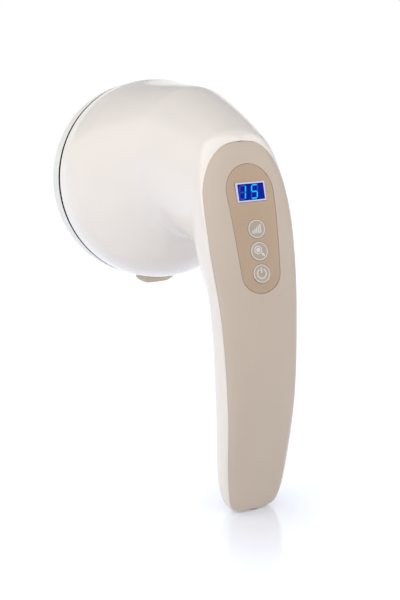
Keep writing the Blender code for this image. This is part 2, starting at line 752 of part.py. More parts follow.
RING_BACK = SEAM_PLANE + SEAM_WIDTH
RING_RADIUS = seam_radius()
RING_INNER = RING_RADIUS - RING_WALL
SCREW_CIRCLE = RING_INNER - SCREW_INSET
BULKHEAD_FRONT = RING_BACK - SPIGOT_DEPTH
BULKHEAD_BACK = BULKHEAD_FRONT - BULKHEAD_THICKNESS


def ring_profile():
    """The guard ring's wall, with its rounded front lip and the spigot behind it."""
    lip = [(RING_RADIUS - RING_TAPER - RING_LIP * (1 - cos(turn)), RING_FRONT - RING_LIP * (1 - sin(turn)))
           for turn in (radians(90), radians(60), radians(30), 0)]
    inner_round = RING_LIP / 4
    return [
        (RING_INNER + inner_round, RING_FRONT),
        *lip,
        (RING_RADIUS, RING_BACK),
        (RING_INNER + SPIGOT_WALL, RING_BACK),
        (RING_INNER + SPIGOT_WALL, BULKHEAD_FRONT + GAP),
        (RING_INNER, BULKHEAD_FRONT + GAP),
        (RING_INNER, RING_FRONT - inner_round),
    ]


def build_guard_ring(head):
    ring = screw_profile("guard_ring", ring_profile(), "white", head, steps=RING_STEPS)
    outline = squared_circle(BUTTON_HALF_WIDTH + GAP, BUTTON_HALF_DEPTH + GAP, BUTTON_SQUARENESS)
    hole = outline_mesh("button_hole", outline, RING_INNER / 2, RING_RADIUS + OVERRUN)
    opening = cutter("button_hole", hole, head)
    opening.matrix_local = button_matrix()
    boolean(ring, opening)


def build_seam_seal(head):
    back = SEAM_PLANE + GAP
    front = RING_BACK - GAP
    outer = RING_RADIUS - SEAL_INSET
    inner = outer - SEAL_DEPTH
    screw_profile("seam_seal", ((outer, front), (outer, back), (inner, back), (inner, front)),
                  "seal", head, steps=RING_STEPS)


def build_bulkhead(head):
    outer = RING_RADIUS - SHELL_WALL - BULKHEAD_CLEARANCE
    bore = BEARING_RADIUS + GAP
    boss = bore + BEARING_BOSS_WALL
    boss_back = BULKHEAD_FRONT - BEARING_WIDTH
    plate = screw_profile("front_bulkhead", (
        (outer, BULKHEAD_FRONT), (outer, BULKHEAD_BACK), (boss, BULKHEAD_BACK), (boss, boss_back),
        (bore, boss_back), (bore, BULKHEAD_FRONT)), "nylon", head)
    post_top = ARM_INNER + SPRING_LENGTH + 2 * GAP
    post_size = (2 * POST_HALF_WIDTH, POST_THICKNESS, ARM_REACH + BULKHEAD_FRONT)
    post_centre = (0, post_top + POST_THICKNESS / 2, BULKHEAD_FRONT - post_size[2] / 2 - BULKHEAD_THICKNESS / 2)
    boolean(plate, cutter("spring_post", block_mesh("spring_post", post_size, post_centre), head), "UNION")
    slot_low = ARM_OUTER - HOOK_BITE / 3
    slot_high = ARM_INNER + BUTTON_TRAVEL + 2 * GAP
    slot_size = (2 * ARM_HALF_WIDTH + 4 * GAP, slot_high - slot_low, 4 * BULKHEAD_THICKNESS)
    slot_centre = (0, (slot_high + slot_low) / 2, BULKHEAD_BACK)
    boolean(plate, cutter("hook_slot", block_mesh("hook_slot", slot_size, slot_centre), head))
    for index, place in enumerate(boss_places(), 1):
        name = f"bulkhead_hole_{index}"
        hole = rod_mesh(name, SCREW_RADIUS + GAP, BULKHEAD_BACK - OVERRUN, BULKHEAD_FRONT + OVERRUN, place, 12)
        boolean(plate, cutter(name, hole, head))
    for index, place in enumerate(pillar_places(), 1):
        name = f"pillar_screw_hole_{index}"
        hole = rod_mesh(name, SCREW_RADIUS + GAP, BULKHEAD_BACK - OVERRUN,
                        BULKHEAD_FRONT - BULKHEAD_THICKNESS / 4, place, 12)
        boolean(plate, cutter(name, hole, head))


def build_screws(name, places, seat, length, up, head):
    """Like screws with their heads on a seat. The heads face along the spindle axis if up."""
    side = 1 if up else -1
    under, top, tip = seat + side * GAP, seat + side * (GAP + SCREW_HEAD_HEIGHT), seat - side * length
    profile = (
        (0, top), (SCREW_HEAD_RADIUS * 0.7, top), (SCREW_HEAD_RADIUS, (top + under) / 2),
        (SCREW_HEAD_RADIUS, under), (SCREW_RADIUS, under), (SCREW_RADIUS, tip), (0, tip))
    if not up:
        profile = tuple(reversed(profile))
    for index, place in enumerate(places, 1):
        screw = part(f"{name}_{index}", turned_mesh(name, profile, steps=8), "zinc", head)
        screw.location = (*place, 0)


# Massage head

def build_massage_disc(spin):
    bore = SPINDLE_RADIUS + GAP
    bore_top = ROLLER_AXIS_HEIGHT
    crown_radius = HUB_RADIUS * 1.5
    profile = (
        (0, DISC_CROWN), (crown_radius * 0.6, DISC_CROWN - DISC_RIM_ROUND / 8),
        (crown_radius, DISC_CROWN - DISC_RIM_ROUND / 2),
        (DISC_RADIUS * 0.6, (DISC_CROWN + DISC_EDGE_FRONT * 2) / 3 + DISC_RIM_ROUND / 4),
        (DISC_RADIUS - DISC_RIM_ROUND, DISC_EDGE_FRONT),
        (DISC_RADIUS - DISC_RIM_ROUND * 0.3, DISC_EDGE_FRONT - DISC_RIM_ROUND * 0.3),
        (DISC_RADIUS, DISC_EDGE_FRONT - DISC_RIM_ROUND), (DISC_RADIUS, DISC_BACK),
        (HUB_RADIUS, DISC_BACK), (HUB_RADIUS, HUB_BACK), (bore, HUB_BACK), (bore, bore_top), (0, bore_top),
    )
    disc = screw_profile("massage_disc", profile, "nylon", spin)
    for index, turn in enumerate(roller_turns(), 1):
        ball = bmesh.new()
        bmesh.ops.create_uvsphere(ball, u_segments=14, v_segments=8, radius=ROLLER_RADIUS + 2 * GAP)
        name = f"roller_pocket_{index}"
        pocket = cutter(name, finish_mesh(ball, name), spin)
        pocket.location = roller_place(turn)
        boolean(disc, pocket)
        name = f"pin_bore_{index}"
        reach = ROLLER_RADIUS + PIN_GRIP + GAP
        bore_mesh = rod_mesh(name, PIN_RADIUS + GAP, -reach, reach, sides=12)
        pin_bore = cutter(name, bore_mesh, spin)
        pin_bore.matrix_local = roller_matrix(turn)
        boolean(disc, pin_bore)


def roller_turns():
    return [2 * pi * index / ROLLER_COUNT for index in range(ROLLER_COUNT)]


def roller_place(turn):
    return Vector((ROLLER_CIRCLE * cos(turn), ROLLER_CIRCLE * sin(turn), ROLLER_AXIS_HEIGHT))


def roller_matrix(turn):
    """Z outward along the roller's pin."""
    turned = Matrix.Rotation(turn, 4, "Z") @ Matrix.Rotation(pi / 2, 4, "Y")
    return Matrix.Translation(roller_place(turn)) @ turned


def build_rollers(spin):
    bore = PIN_RADIUS + GAP
    half = sqrt(ROLLER_RADIUS ** 2 - bore ** 2)
    start = asin(bore / ROLLER_RADIUS)
    arc = [start + (pi - 2 * start) * step / 7 for step in range(8)]
    profile = [(ROLLER_RADIUS * sin(turn), ROLLER_RADIUS * cos(turn)) for turn in arc]
    reach = half + PIN_GRIP
    for index, turn in enumerate(roller_turns(), 1):
        axis = empty(f"roller_axis_{index}", spin, roller_matrix(turn))
        screw_profile(f"roller_{index}", profile, "steel", axis, steps=14)
        name = f"roller_pin_{index}"
        part(name, rod_mesh(name, PIN_RADIUS, -reach, reach, sides=12), "zinc", axis)


# Drive

def gear_outline(teeth, turn=0.0):
    """Straight-flanked teeth, thinner than the space between them, so that the pair runs with play."""
    pitch_radius = MODULE * teeth / 2
    tip = pitch_radius + MODULE * ADDENDUM_SHARE
    root = pitch_radius - MODULE * DEDENDUM_SHARE
    pitch = 2 * pi / teeth
    points = []
    for tooth in range(teeth):
        middle = turn + tooth * pitch
        for radius, share in ((root, -TOOTH_ROOT_SHARE), (tip, -TOOTH_TIP_SHARE),
                              (tip, TOOTH_TIP_SHARE), (root, TOOTH_ROOT_SHARE)):
            angle = middle + share * pitch
            points.append((radius * cos(angle), radius * sin(angle)))
    return points


def gear_distance():
    return MODULE * (GEAR_TEETH + PINION_TEETH) / 2


def pillar_places():
    return [(side * BALL_RADIUS * across, BALL_RADIUS * up)
            for across, up in (PILLAR_LOWER_SHARES, PILLAR_UPPER_SHARES) for side in (-1, 1)]


GEAR_FRONT = BULKHEAD_BACK - GEAR_CLEARANCE
GEAR_BACK = GEAR_FRONT - GEAR_WIDTH
BRACKET_FRONT = GEAR_BACK - 2 * GAP
BRACKET_BACK = BRACKET_FRONT - BRACKET_THICKNESS
REAR_BEARING_BACK = BRACKET_FRONT - BEARING_WIDTH


def build_spindle(spin):
    tail = REAR_BEARING_BACK - SPINDLE_TAIL - CLIP_THICKNESS
    part("drive_spindle", rod_mesh("drive_spindle", SPINDLE_RADIUS, tail, ROLLER_AXIS_HEIGHT - GAP),
         "steel", spin)
    wheel = outline_mesh("spindle_gear", gear_outline(GEAR_TEETH), GEAR_BACK, GEAR_FRONT,
                         [circle(SPINDLE_RADIUS + GAP)])
    part("spindle_gear", wheel, "nylon", spin)
    clip_front = REAR_BEARING_BACK - GAP
    clip = outline_mesh("spindle_clip", circle(CLIP_RADIUS), clip_front - CLIP_THICKNESS, clip_front,
                        [circle(SPINDLE_RADIUS + GAP)])
    part("spindle_clip", clip, "zinc", spin)


def build_bearings(head):
    spans = {
        "front_bearing": (BULKHEAD_FRONT - BEARING_WIDTH, BULKHEAD_FRONT),
        "rear_bearing": (REAR_BEARING_BACK, BRACKET_FRONT),
    }
    for name, (low, high) in spans.items():
        outer, inner = BEARING_RADIUS, SPINDLE_RADIUS + GAP
        shoulder = (outer - inner) / 3
        groove = (high - low) / 8
        profile = (
            (outer, high), (outer, low), (outer - shoulder, low), (outer - shoulder, low + groove),
            (inner + shoulder, low + groove), (inner + shoulder, low), (inner, low), (inner, high),
            (inner + shoulder, high), (inner + shoulder, high - groove), (outer - shoulder, high - groove),
            (outer - shoulder, high))
        screw_profile(name, profile, "steel", head, steps=16)


def bracket_outline():
    """A plate with round corners about the spindle's bearing and the motor."""
    half = BALL_RADIUS * PILLAR_LOWER_SHARES[0] + BRACKET_MARGIN
    low = BALL_RADIUS * PILLAR_LOWER_SHARES[1] - BRACKET_MARGIN
    high = gear_distance() + MOTOR_RADIUS
    corner = BRACKET_MARGIN
    points = []
    for x, y, start in ((half, high, 0), (-half, high, 90), (-half, low, 180), (half, low, 270)):
        centre = (x - corner if x > 0 else x + corner, y - corner if y > 0 else y + corner)
        for step in range(5):
            angle = radians(start + 90 * step / 4)
            points.append((centre[0] + corner * cos(angle), centre[1] + corner * sin(angle)))
    return points


def build_motor_bracket(head):
    holes = [circle(BEARING_RADIUS + GAP), circle(MOTOR_NOSE_RADIUS + GAP, (0, gear_distance()))]
    plate = part("motor_bracket", outline_mesh("motor_bracket", bracket_outline(), BRACKET_BACK, BRACKET_FRONT,
                                               holes), "zinc", head)
    cup_mesh = outline_mesh("bearing_cup", circle(BEARING_RADIUS + GAP + BEARING_BOSS_WALL),
                            REAR_BEARING_BACK, BRACKET_FRONT - BRACKET_THICKNESS / 2,
                            [circle(BEARING_RADIUS + GAP)])
    boolean(plate, cutter("bearing_cup", cup_mesh, head), "UNION")
    for index, place in enumerate(pillar_places(), 1):
        name = f"pillar_{index}"
        pillar = rod_mesh(name, PILLAR_RADIUS, BRACKET_FRONT - BRACKET_THICKNESS / 2, BULKHEAD_BACK - GAP,
                          place, 12)
        boolean(plate, cutter(name, pillar, head), "UNION")
        name = f"bracket_hole_{index}"
        hole = rod_mesh(name, SCREW_RADIUS + GAP, BRACKET_BACK - OVERRUN, BULKHEAD_BACK + OVERRUN, place, 10)
        boolean(plate, cutter(name, hole, head))


def build_motor(head):
    front = BRACKET_BACK - GAP
    back = front - MOTOR_LENGTH
    nose = front + MOTOR_NOSE
    bore = MOTOR_SHAFT_RADIUS + GAP
    bore_back = front - MOTOR_LENGTH / 3
    lip = MOTOR_RADIUS / 12
    can = (
        (0, bore_back), (bore, bore_back), (bore, nose), (MOTOR_NOSE_RADIUS, nose), (MOTOR_NOSE_RADIUS, front),
        (MOTOR_RADIUS - lip, front), (MOTOR_RADIUS, front - lip), (MOTOR_RADIUS, back + 2 * lip),
        (MOTOR_RADIUS - lip, back + lip), (MOTOR_RADIUS / 2, back + lip), (MOTOR_RADIUS / 2, back), (0, back))
    axis = empty("motor_axis", head, Matrix.Translation((0, gear_distance(), 0)))
    part("motor", turned_mesh("motor", can, steps=24), "steel", axis)
    shaft_top = GEAR_FRONT + PINION_EXTRA - GAP
    part("motor_shaft", rod_mesh("motor_shaft", MOTOR_SHAFT_RADIUS, bore_back + GAP, shaft_top, sides=16),
         "zinc", axis)
    teeth = gear_outline(PINION_TEETH, -pi / 2 + pi / PINION_TEETH)
    pinion = outline_mesh("motor_pinion", teeth, GEAR_BACK - PINION_EXTRA / 2, GEAR_FRONT + PINION_EXTRA,
                          [circle(bore, sides=16)])
    part("motor_pinion", pinion, "nylon", axis)


# Release button

BUTTON_AXIAL = (RING_BACK + RING_FRONT) / 2 - RING_LIP / 6
FLANGE_OUTER = FLANGE_PLAY - sqrt(RING_INNER ** 2 - FLANGE_HALF_WIDTH ** 2)
ARM_OUTER = FLANGE_OUTER
ARM_INNER = ARM_OUTER + ARM_THICKNESS
# The disc turns clear of the arm when the button is pressed
DISC_RADIUS = -ARM_INNER - BUTTON_TRAVEL - DISC_CLEARANCE
ROLLER_CIRCLE = DISC_RADIUS - ROLLER_RADIUS - ROLLER_RIM


def button_matrix():
    """Z out of the ring at its lowest place, X across and Y out of the massage face."""
    return Matrix.Translation((0, 0, BUTTON_AXIAL)) @ Matrix.Rotation(pi / 2, 4, "X")


def button_mesh(name, layers):
    """Ovals one above the other, each with its height and its shares of the half width and half depth."""
    bm = bmesh.new()
    rings = []
    for height, width, depth in layers:
        oval = squared_circle(BUTTON_HALF_WIDTH * width, BUTTON_HALF_DEPTH * depth, BUTTON_SQUARENESS)
        rings.append([bm.verts.new((x, y, height)) for x, y in oval])
    for lower, upper in zip(rings, rings[1:]):
        for side, corner in enumerate(lower):
            after = (side + 1) % len(lower)
            bm.faces.new((corner, lower[after], upper[after], upper[side]))
    bm.faces.new(reversed(rings[0]))
    bm.faces.new(rings[-1])
    return finish_mesh(bm, name)


def build_release_button(head):
    """The oval cap, the flange that keeps it in the ring and the arm whose hook holds the bulkhead."""
    layers = [(-FLANGE_OUTER - FLANGE_THICKNESS / 2, 1.0, 1.0)]
    layers += [(RING_RADIUS + BUTTON_PROUD * height, width, depth) for height, width, depth in BUTTON_DOME_SHARES]
    axis = empty("button_axis", head, button_matrix())
    button = part("release_button", button_mesh("release_button", layers), "button", axis)
    flange = block_mesh("button_flange", (2 * FLANGE_HALF_WIDTH, 2 * FLANGE_HALF_DEPTH, FLANGE_THICKNESS),
                        (0, 0, -FLANGE_OUTER - FLANGE_THICKNESS / 2))
    boolean(button, cutter("button_flange", flange, axis), "UNION")
    arm_back = -ARM_REACH
    arm_size = (2 * ARM_HALF_WIDTH, ARM_THICKNESS, BUTTON_AXIAL - arm_back)
    arm_centre = (0, (ARM_OUTER + ARM_INNER) / 2, (BUTTON_AXIAL + arm_back) / 2)
    boolean(button, cutter("button_arm", block_mesh("button_arm", arm_size, arm_centre), head), "UNION")
    hook_size = (2 * ARM_HALF_WIDTH, HOOK_BITE + ARM_THICKNESS, HOOK_THICKNESS)
    hook_centre = (0, ARM_INNER - hook_size[1] / 2, BULKHEAD_BACK - GAP - HOOK_THICKNESS / 2)
    boolean(button, cutter("button_hook", block_mesh("button_hook", hook_size, hook_centre), head), "UNION")


def build_release_spring(head):
    """A small coil spring between the button's arm and the bulkhead's post."""
    curve = bpy.data.curves.new("release_spring", "CURVE")
    curve.dimensions = "3D"
    curve.bevel_depth = SPRING_WIRE_RADIUS
    curve.bevel_resolution = 1
    curve.use_fill_caps = True
    spline = curve.splines.new("POLY")
    count = SPRING_TURNS * 8
    spline.points.add(count)
    rise = SPRING_LENGTH - 2 * SPRING_WIRE_RADIUS
    for index, point in enumerate(spline.points):
        turn = 2 * pi * SPRING_TURNS * index / count
        height = SPRING_WIRE_RADIUS + rise * index / count
        point.co = (SPRING_RADIUS * cos(turn), height, SPRING_RADIUS * sin(turn), 1)
    curve.materials.append(make_material("release_spring", "steel"))
    spring = bpy.data.objects.new("release_spring", curve)
    PARTS.objects.link(spring)
    spring.parent = head
    spring.location = (0, ARM_INNER + GAP, BULKHEAD_BACK - SPRING_RADIUS - HOOK_THICKNESS - 2 * GAP)


# Battery and charging

def cell_centre():
    """Middle of the pair of cells. Their tray lies along the inner wall of the grip."""
    top = -HANDLE_HEIGHT * CELL_TOP_SHARE
    wall = HANDLE_DEPTH * HANDLE_SHARES[GRIP_ROW][0] + SHELL_WALL
    return Vector((0, wall + TRAY_CLEARANCE + TRAY_FLOOR + GAP + CELL_RADIUS, top - CELL_LENGTH / 2))


def build_battery():
    centre = cell_centre()
    half = CELL_LENGTH / 2
    edge = CELL_RADIUS / 9
    for index, side in enumerate((-1, 1), 1):
        name = f"battery_cell_{index}"
        profile = (
            (0, half), (CELL_NUB_RADIUS, half), (CELL_NUB_RADIUS, half - CELL_NUB),
            (CELL_RADIUS - edge, half - CELL_NUB), (CELL_RADIUS, half - CELL_NUB - edge),
            (CELL_RADIUS, edge - half), (CELL_RADIUS - edge, -half), (0, -half))
        cell = part(name, turned_mesh(name, profile), "wrap", ROOT)
        cell.location = centre + Vector((side * (CELL_RADIUS + GAP / 2), 0, 0))
    floor_top = -CELL_RADIUS - GAP
    end = half + GAP
    outline = (
        (floor_top - TRAY_FLOOR, -end - TRAY_WALL), (floor_top + TRAY_HEIGHT, -end - TRAY_WALL),
        (floor_top + TRAY_HEIGHT, -end), (floor_top, -end), (floor_top, end), (floor_top + TRAY_HEIGHT, end),
        (floor_top + TRAY_HEIGHT, end + TRAY_WALL), (floor_top - TRAY_FLOOR, end + TRAY_WALL))
    mesh = outline_mesh("battery_tray", outline, -TRAY_HALF_WIDTH, TRAY_HALF_WIDTH)
    mesh.transform(Matrix(((0, 0, 1, 0), (1, 0, 0, 0), (0, 1, 0, 0), (0, 0, 0, 1))))
    tray = part("battery_tray", mesh, "dark", ROOT)
    tray.location = centre


def socket_place():
    """The lowest point of the charging socket, in the flat of the handle's end."""
    lower, upper = skin_point(LAST_SECTION, pi), skin_point(LAST_SECTION, 0)
    share = (SOCKET_BACK_SHARE * HANDLE_DEPTH - lower.y) / (upper.y - lower.y)
    return lower.lerp(upper, share)


def build_charging():
    place = socket_place()
    mouth = SHELL_WALL / 4
    floor = SOCKET_LENGTH / 2
    profile = ((0, SOCKET_LENGTH), (SOCKET_RADIUS, SOCKET_LENGTH), (SOCKET_RADIUS, mouth),
               (SOCKET_BORE, mouth), (SOCKET_BORE, floor), (0, floor))
    socket = part("charge_socket", turned_mesh("charge_socket", profile, steps=16), "dark", ROOT)
    socket.location = place
    size = (CHARGE_BOARD_WIDTH, CHARGE_BOARD_DEPTH, BOARD_THICKNESS)
    height = SOCKET_LENGTH + GAP + BOARD_THICKNESS / 2
    board = part("charge_board", block_mesh("charge_board", size, (0, 0, height)), "board", ROOT)
    board.location = place + Vector((0, CHARGE_BOARD_DEPTH / 8, 0))


clear_scene()
PARTS = make_collection("massager")
CUTTERS = make_collection("cutters")
CUTTERS.hide_render = True
# The part's origin lies under the middle of its bounding box
FRONT_REACH = max(radius * sin(FACE_TILT) + height * cos(FACE_TILT) for radius, height in ring_profile())
BACK_REACH = max(skin_point(station, 0).y for station in LINE_STATIONS)
ROOT = empty("massager_frame", None, Matrix.Translation((0, (FRONT_REACH - BACK_REACH) / 2, HANDLE_HEIGHT)))
HEAD = empty("head_frame", ROOT, head_matrix())
SPIN = empty("spindle_axis", HEAD)
PANEL = empty("panel_frame", ROOT, panel_matrix())

build_body_shell(HEAD)
build_grip_cover(PANEL)
build_control_panel(PANEL)
build_display(PANEL)
build_keys(PANEL)
build_control_board(PANEL)
build_guard_ring(HEAD)
build_seam_seal(HEAD)
build_bulkhead(HEAD)
build_screws("bulkhead_screw", boss_places(), BULKHEAD_FRONT, SCREW_GRIP, True, HEAD)
build_massage_disc(SPIN)
build_rollers(SPIN)
build_spindle(SPIN)
build_bearings(HEAD)
build_motor_bracket(HEAD)
build_screws("bracket_screw", pillar_places(), BRACKET_BACK, SCREW_GRIP, False, HEAD)
build_motor(HEAD)
build_release_button(HEAD)
build_release_spring(HEAD)
build_battery()
build_charging()
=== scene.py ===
"""Looks of the hand-held massager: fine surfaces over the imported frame, materials, light and camera."""
from math import cos, hypot, pi, radians, sin, sqrt

import bmesh
import bpy
import numpy as np
from mathutils import Matrix, Vector


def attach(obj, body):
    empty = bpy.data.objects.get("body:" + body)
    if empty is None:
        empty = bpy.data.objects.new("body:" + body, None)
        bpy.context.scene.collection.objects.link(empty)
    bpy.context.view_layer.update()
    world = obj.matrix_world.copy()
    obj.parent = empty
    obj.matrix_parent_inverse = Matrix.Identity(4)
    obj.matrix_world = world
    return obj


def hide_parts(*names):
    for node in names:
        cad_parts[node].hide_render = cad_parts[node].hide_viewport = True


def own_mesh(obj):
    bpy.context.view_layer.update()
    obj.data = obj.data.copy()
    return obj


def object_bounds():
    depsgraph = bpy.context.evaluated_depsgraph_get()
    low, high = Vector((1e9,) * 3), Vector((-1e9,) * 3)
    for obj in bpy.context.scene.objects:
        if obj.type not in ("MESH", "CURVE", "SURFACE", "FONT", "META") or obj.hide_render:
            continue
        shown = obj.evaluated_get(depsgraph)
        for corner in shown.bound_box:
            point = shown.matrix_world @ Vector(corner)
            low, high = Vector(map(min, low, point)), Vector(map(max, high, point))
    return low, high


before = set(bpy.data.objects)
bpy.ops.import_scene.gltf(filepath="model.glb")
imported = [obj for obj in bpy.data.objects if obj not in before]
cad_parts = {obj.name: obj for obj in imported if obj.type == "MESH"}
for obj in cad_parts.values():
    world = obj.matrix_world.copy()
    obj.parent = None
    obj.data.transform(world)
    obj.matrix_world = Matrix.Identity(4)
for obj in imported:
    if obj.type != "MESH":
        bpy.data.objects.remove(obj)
CAD_LOW, CAD_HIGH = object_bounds()

# The frame's own sizes, in metres, as the CAD has them
BALL_CENTRE = Vector((0, -0.0573433, 0.1575))
BALL_RADIUS = 0.0593
FACE_TILT = radians(10)
HANDLE_DEPTH = 0.1451
HANDLE_HEIGHT = 0.1575
HANDLE_HALF_WIDTH = 0.0244
SHELL_WALL = 0.0024
BALL_SECTION_ANGLES = ((20, -3), (33, 6))
# Each row: low y and z, high y and z, half width, place of the widest point, squareness
NECK_SHARES = (
    (0.720, -0.694, 0.310, 0.997, 0.830, 0.530, 2.00),
    (0.819, -0.575, 0.800, 1.012, 0.645, 0.526, 2.00),
    (0.904, -0.468, 0.985, 1.003, 0.575, 0.519, 2.00),
    (1.049, -0.356, 1.355, 0.914, 0.508, 0.506, 2.05),
    (1.394, -0.332, 1.718, 0.779, 0.443, 0.506, 2.30),
    (1.660, -0.436, 1.875, 0.676, 0.424, 0.530, 2.45),
)
HANDLE_SHARES = (
    (0.762, -0.250, 0.829, 0.141, 1.050, 0.62, 2.60),
    (0.826, -0.340, 0.894, -0.006, 1.006, 0.62, 2.55),
    (0.829, -0.468, 0.961, -0.231, 0.942, 0.60, 2.65),
    (0.829, -0.676, 1.000, -0.538, 0.868, 0.52, 2.85),
    (0.828, -0.869, 0.961, -0.821, 0.794, 0.52, 2.75),
    (0.830, -0.949, 0.943, -0.958, 0.660, 0.52, 2.50),
    (0.854, -0.988, 0.914, -1.000, 0.460, 0.52, 2.30),
)
SEAM_PLANE = 0.0025
SEAM_WIDTH = 0.0012
RING_FRONT = 0.0210
RING_WALL = 0.0056
RING_TAPER = 0.0004
RING_LIP = 0.0028
RING_BACK_ROUND = 0.0002
RING_BACK_INSET = 0.00004
RING_STEP = 0.0027
RING_SEAT_GAP = 0.0003
# The dark gasket shows by this much more than the CAD's; this extra width is painted shade, standing in for
# the shade deep in the seam's gap
SEAM_PAINTED_SHADE_WIDTH = 0.0025
SEAL_DEPTH = 0.0022
SEAL_INSET = 0.00008
SEAL_ROUND = 0.0001
SEAL_GAP = 0.00004
BULKHEAD_FRONT = 0.0012
DISC_RADIUS = 0.0463654
DISC_BACK = 0.0110
DISC_EDGE_FRONT = 0.0180
DISC_CROWN = 0.0215
DISC_EDGE_ROUND = 0.0022
DISC_FALL_POWER = 2.2
HUB_RADIUS = 0.008
HUB_BACK = 0.0036
HUB_BORE_RADIUS = 0.0043
ROLLER_COUNT = 6
ROLLER_RADIUS = 0.008895
ROLLER_CIRCLE = 0.0304704
ROLLER_HEIGHT = 0.017
ROLLER_POCKET_GAP = 0.0006
PIN_RADIUS = 0.00125
PIN_GAP = 0.0003
PIN_OVERHANG = 0.0025
BUTTON_HALF_WIDTH = 0.0135
BUTTON_HALF_DEPTH = 0.0042
BUTTON_PROUD = 0.0043
BUTTON_SQUARENESS = 2.3
BUTTON_FOOT_DEPTH = 0.0008
BUTTON_TAPER_SHARES = (0.45, 0.55)
BUTTON_FALL_POWER = 1.6
BUTTON_CAP_SHARES = (0.94, 0.82, 0.55, 0.2)
BUTTON_CAP_RISES = (0.00012, 0.00022, 0.00030, 0.00034)
COVER_TOP = 0.0014
COVER_TOP_ROUND = 0.022
COVER_TOP_SQUARENESS = 3.0
COVER_FOOT_MARGIN = 0.0010
COVER_FOOT_REACH = 0.004
COVER_FOOT_ROUND = 0.0012
COVER_FOOT_SQUARENESS = 2.6
COVER_WALL = 0.0016
COVER_EDGE_ROUND = 0.0004
COVER_EDGE_DROP = 0.00006
COVER_BAND_DROP = 0.00056
COVER_BAND_REACH = 0.0048
COVER_BAND_POWER = 1.3
COVER_EDGE_SHARES = (
    (0.00, 0.93), (0.09, 0.93), (0.14, 0.958), (0.20, 0.975), (0.27, 0.973), (0.34, 0.960), (0.41, 0.946),
    (0.50, 0.940), (0.62, 0.940), (0.70, 0.926), (0.78, 0.909), (0.86, 0.895), (0.92, 0.895), (1.00, 0.92),
)
INLAY_FROM_TOP = 0.0120
INLAY_LENGTH = 0.0650
INLAY_HALF_WIDTH = 0.0134
INLAY_FOOT_HALF_WIDTH = 0.0100
INLAY_TAPER_POWER = 1.3
INLAY_TOP_ROUND = 0.0130
INLAY_FOOT_ROUND = 0.0100
INLAY_THICKNESS = 0.0012
INLAY_EDGE_ROUND = 0.0004
INLAY_EDGE_DROP = 0.0003
DISPLAY_FROM_TOP = 0.0263
DISPLAY_WIDTH = 0.0160
DISPLAY_HEIGHT = 0.0098
FRAME_WALL = 0.0008
FRAME_EDGE_ROUND = 0.00025
WINDOW_THICKNESS = 0.0011
WINDOW_EDGE_ROUND = 0.00008
DISPLAY_BULGE = 0.0004
DIGIT_WIDTH = 0.0032
DIGIT_HEIGHT = 0.0066
DIGIT_LEAN_SHARE = 0.16
DIGIT_PLACES = {"1": (-0.0048, 0.0), "5": (0.0018, 0.0)}
SEGMENT_HALF_WIDTH = 0.00034
SEGMENT_END_SHARE = 1.15
SEGMENT_TIP_SHARE = 0.7
SEGMENT_DEPTH = 0.00002
SEGMENT_PROUD = 0.00003
KEYS = ("intensity", "mode", "power")
KEY_FROM_TOP = 0.0449
KEY_PITCH = 0.0111
KEY_RADIUS = 0.0047
KEY_THICKNESS = 0.0008
KEY_PROUD = 0.0002
KEY_RIM_ROUND = 0.00022
KEY_DISH = 0.00005
KEY_DISH_RIM = 0.00003
KEY_DISH_SHARE = 0.6
STEM_RADIUS = 0.0012
STEM_LENGTH = 0.003
PRINT_DEPTH = 0.00006
PRINT_PROUD = 0.00003
SOCKET_RADIUS = 0.0028
SOCKET_BACK_SHARE = 0.878
SOCKET_GAP = 0.00015
# The end's rows on their way to the socket's mouth, and how far each bulges
END_ROW_SHARES = (0.10, 0.25, 0.45, 0.70, 0.90, 1.0)
END_ROW_BULGES = (0.00005, 0.00015, 0.00025, 0.00020, 0.0, 0.0)
FLANGE_HALF_WIDTH = 0.0148
FLANGE_HALF_DEPTH = 0.0050
FLANGE_THICKNESS = 0.0010
FLANGE_PLAY = 0.0005
ARM_HALF_WIDTH = 0.005
ARM_THICKNESS = 0.0016
ARM_REACH = 0.0097
HOOK_BITE = 0.0012
HOOK_THICKNESS = 0.0018
HOOK_TOP = -0.0021
LATCH_EDGE_ROUND = 0.0002
SPRING_RADIUS = 0.0020
SPRING_WIRE_RADIUS = 0.0003
SPRING_TURNS = 4
SPRING_LENGTH = 0.0052
SPRING_PLACE = (0, -0.0491654, -0.0062)

# The step from a form's pointed end to its first row, and the angles from which an edge is sharp
TIP = 0.00002
SHARP_ANGLE = 32
BODY_SHARP_ANGLE = 40
# The room that pieces leave each other
FINE_GAP = 0.00005
INLAY_GAP = 0.00012
DISPLAY_GAP = 0.0002
DISPLAY_INLAY_GAP = 0.00015
KEY_POCKET_GAP = 0.0003
KEY_POCKET_DEPTH = 0.0014
STEM_GAP = 0.0004
BUTTON_GAP = 0.00018
# What a cutting tool reaches beyond the piece that it cuts
OVERRUN = 0.006
OVERRUN_SHORT = 0.004
# The scene's own pieces stay inside the CAD box by this much at the ring's front and at the foot
BOX_MARGIN = 0.00006
# The body dips by this much to the cover's edge, over this reach
EDGE_DIP = 0.0006
EDGE_DIP_REACH = 0.0050
# The handle's back is drawn in by this much, from here on, to keep inside the CAD's facets
BACK_START = 0.062
BACK_INSET = 0.0004

# Camera: the ball's centre lies at this pixel of the photograph, at this many pixels to a metre
PICTURE_SIZE = (400, 600)
FOCAL_PIXELS = 1000.0
BALL_PIXEL = (155.99, 179.02)
PIXELS_PER_METRE = 1651.5
YAW = radians(24.81)
PITCH = radians(17.84)

# Light: each panel's direction is right, up and out in the picture, then come distance, size and radiance,
# and whether glossy surfaces show it
LIGHT_CENTRE = Vector((0, -0.02, 0.14))
SOFTBOXES = (
    ("front_panel", (-0.25, 0.50, 0.83), 1.1, (2.4, 1.7), 1.00, True),
    ("left_panel", (-0.96, 0.08, 0.22), 1.0, (1.4, 1.4), 0.86, False),
    ("right_panel", (0.96, 0.15, 0.25), 1.1, (1.0, 1.6), 1.00, True),
)
WORLD_LIGHT = 0.32
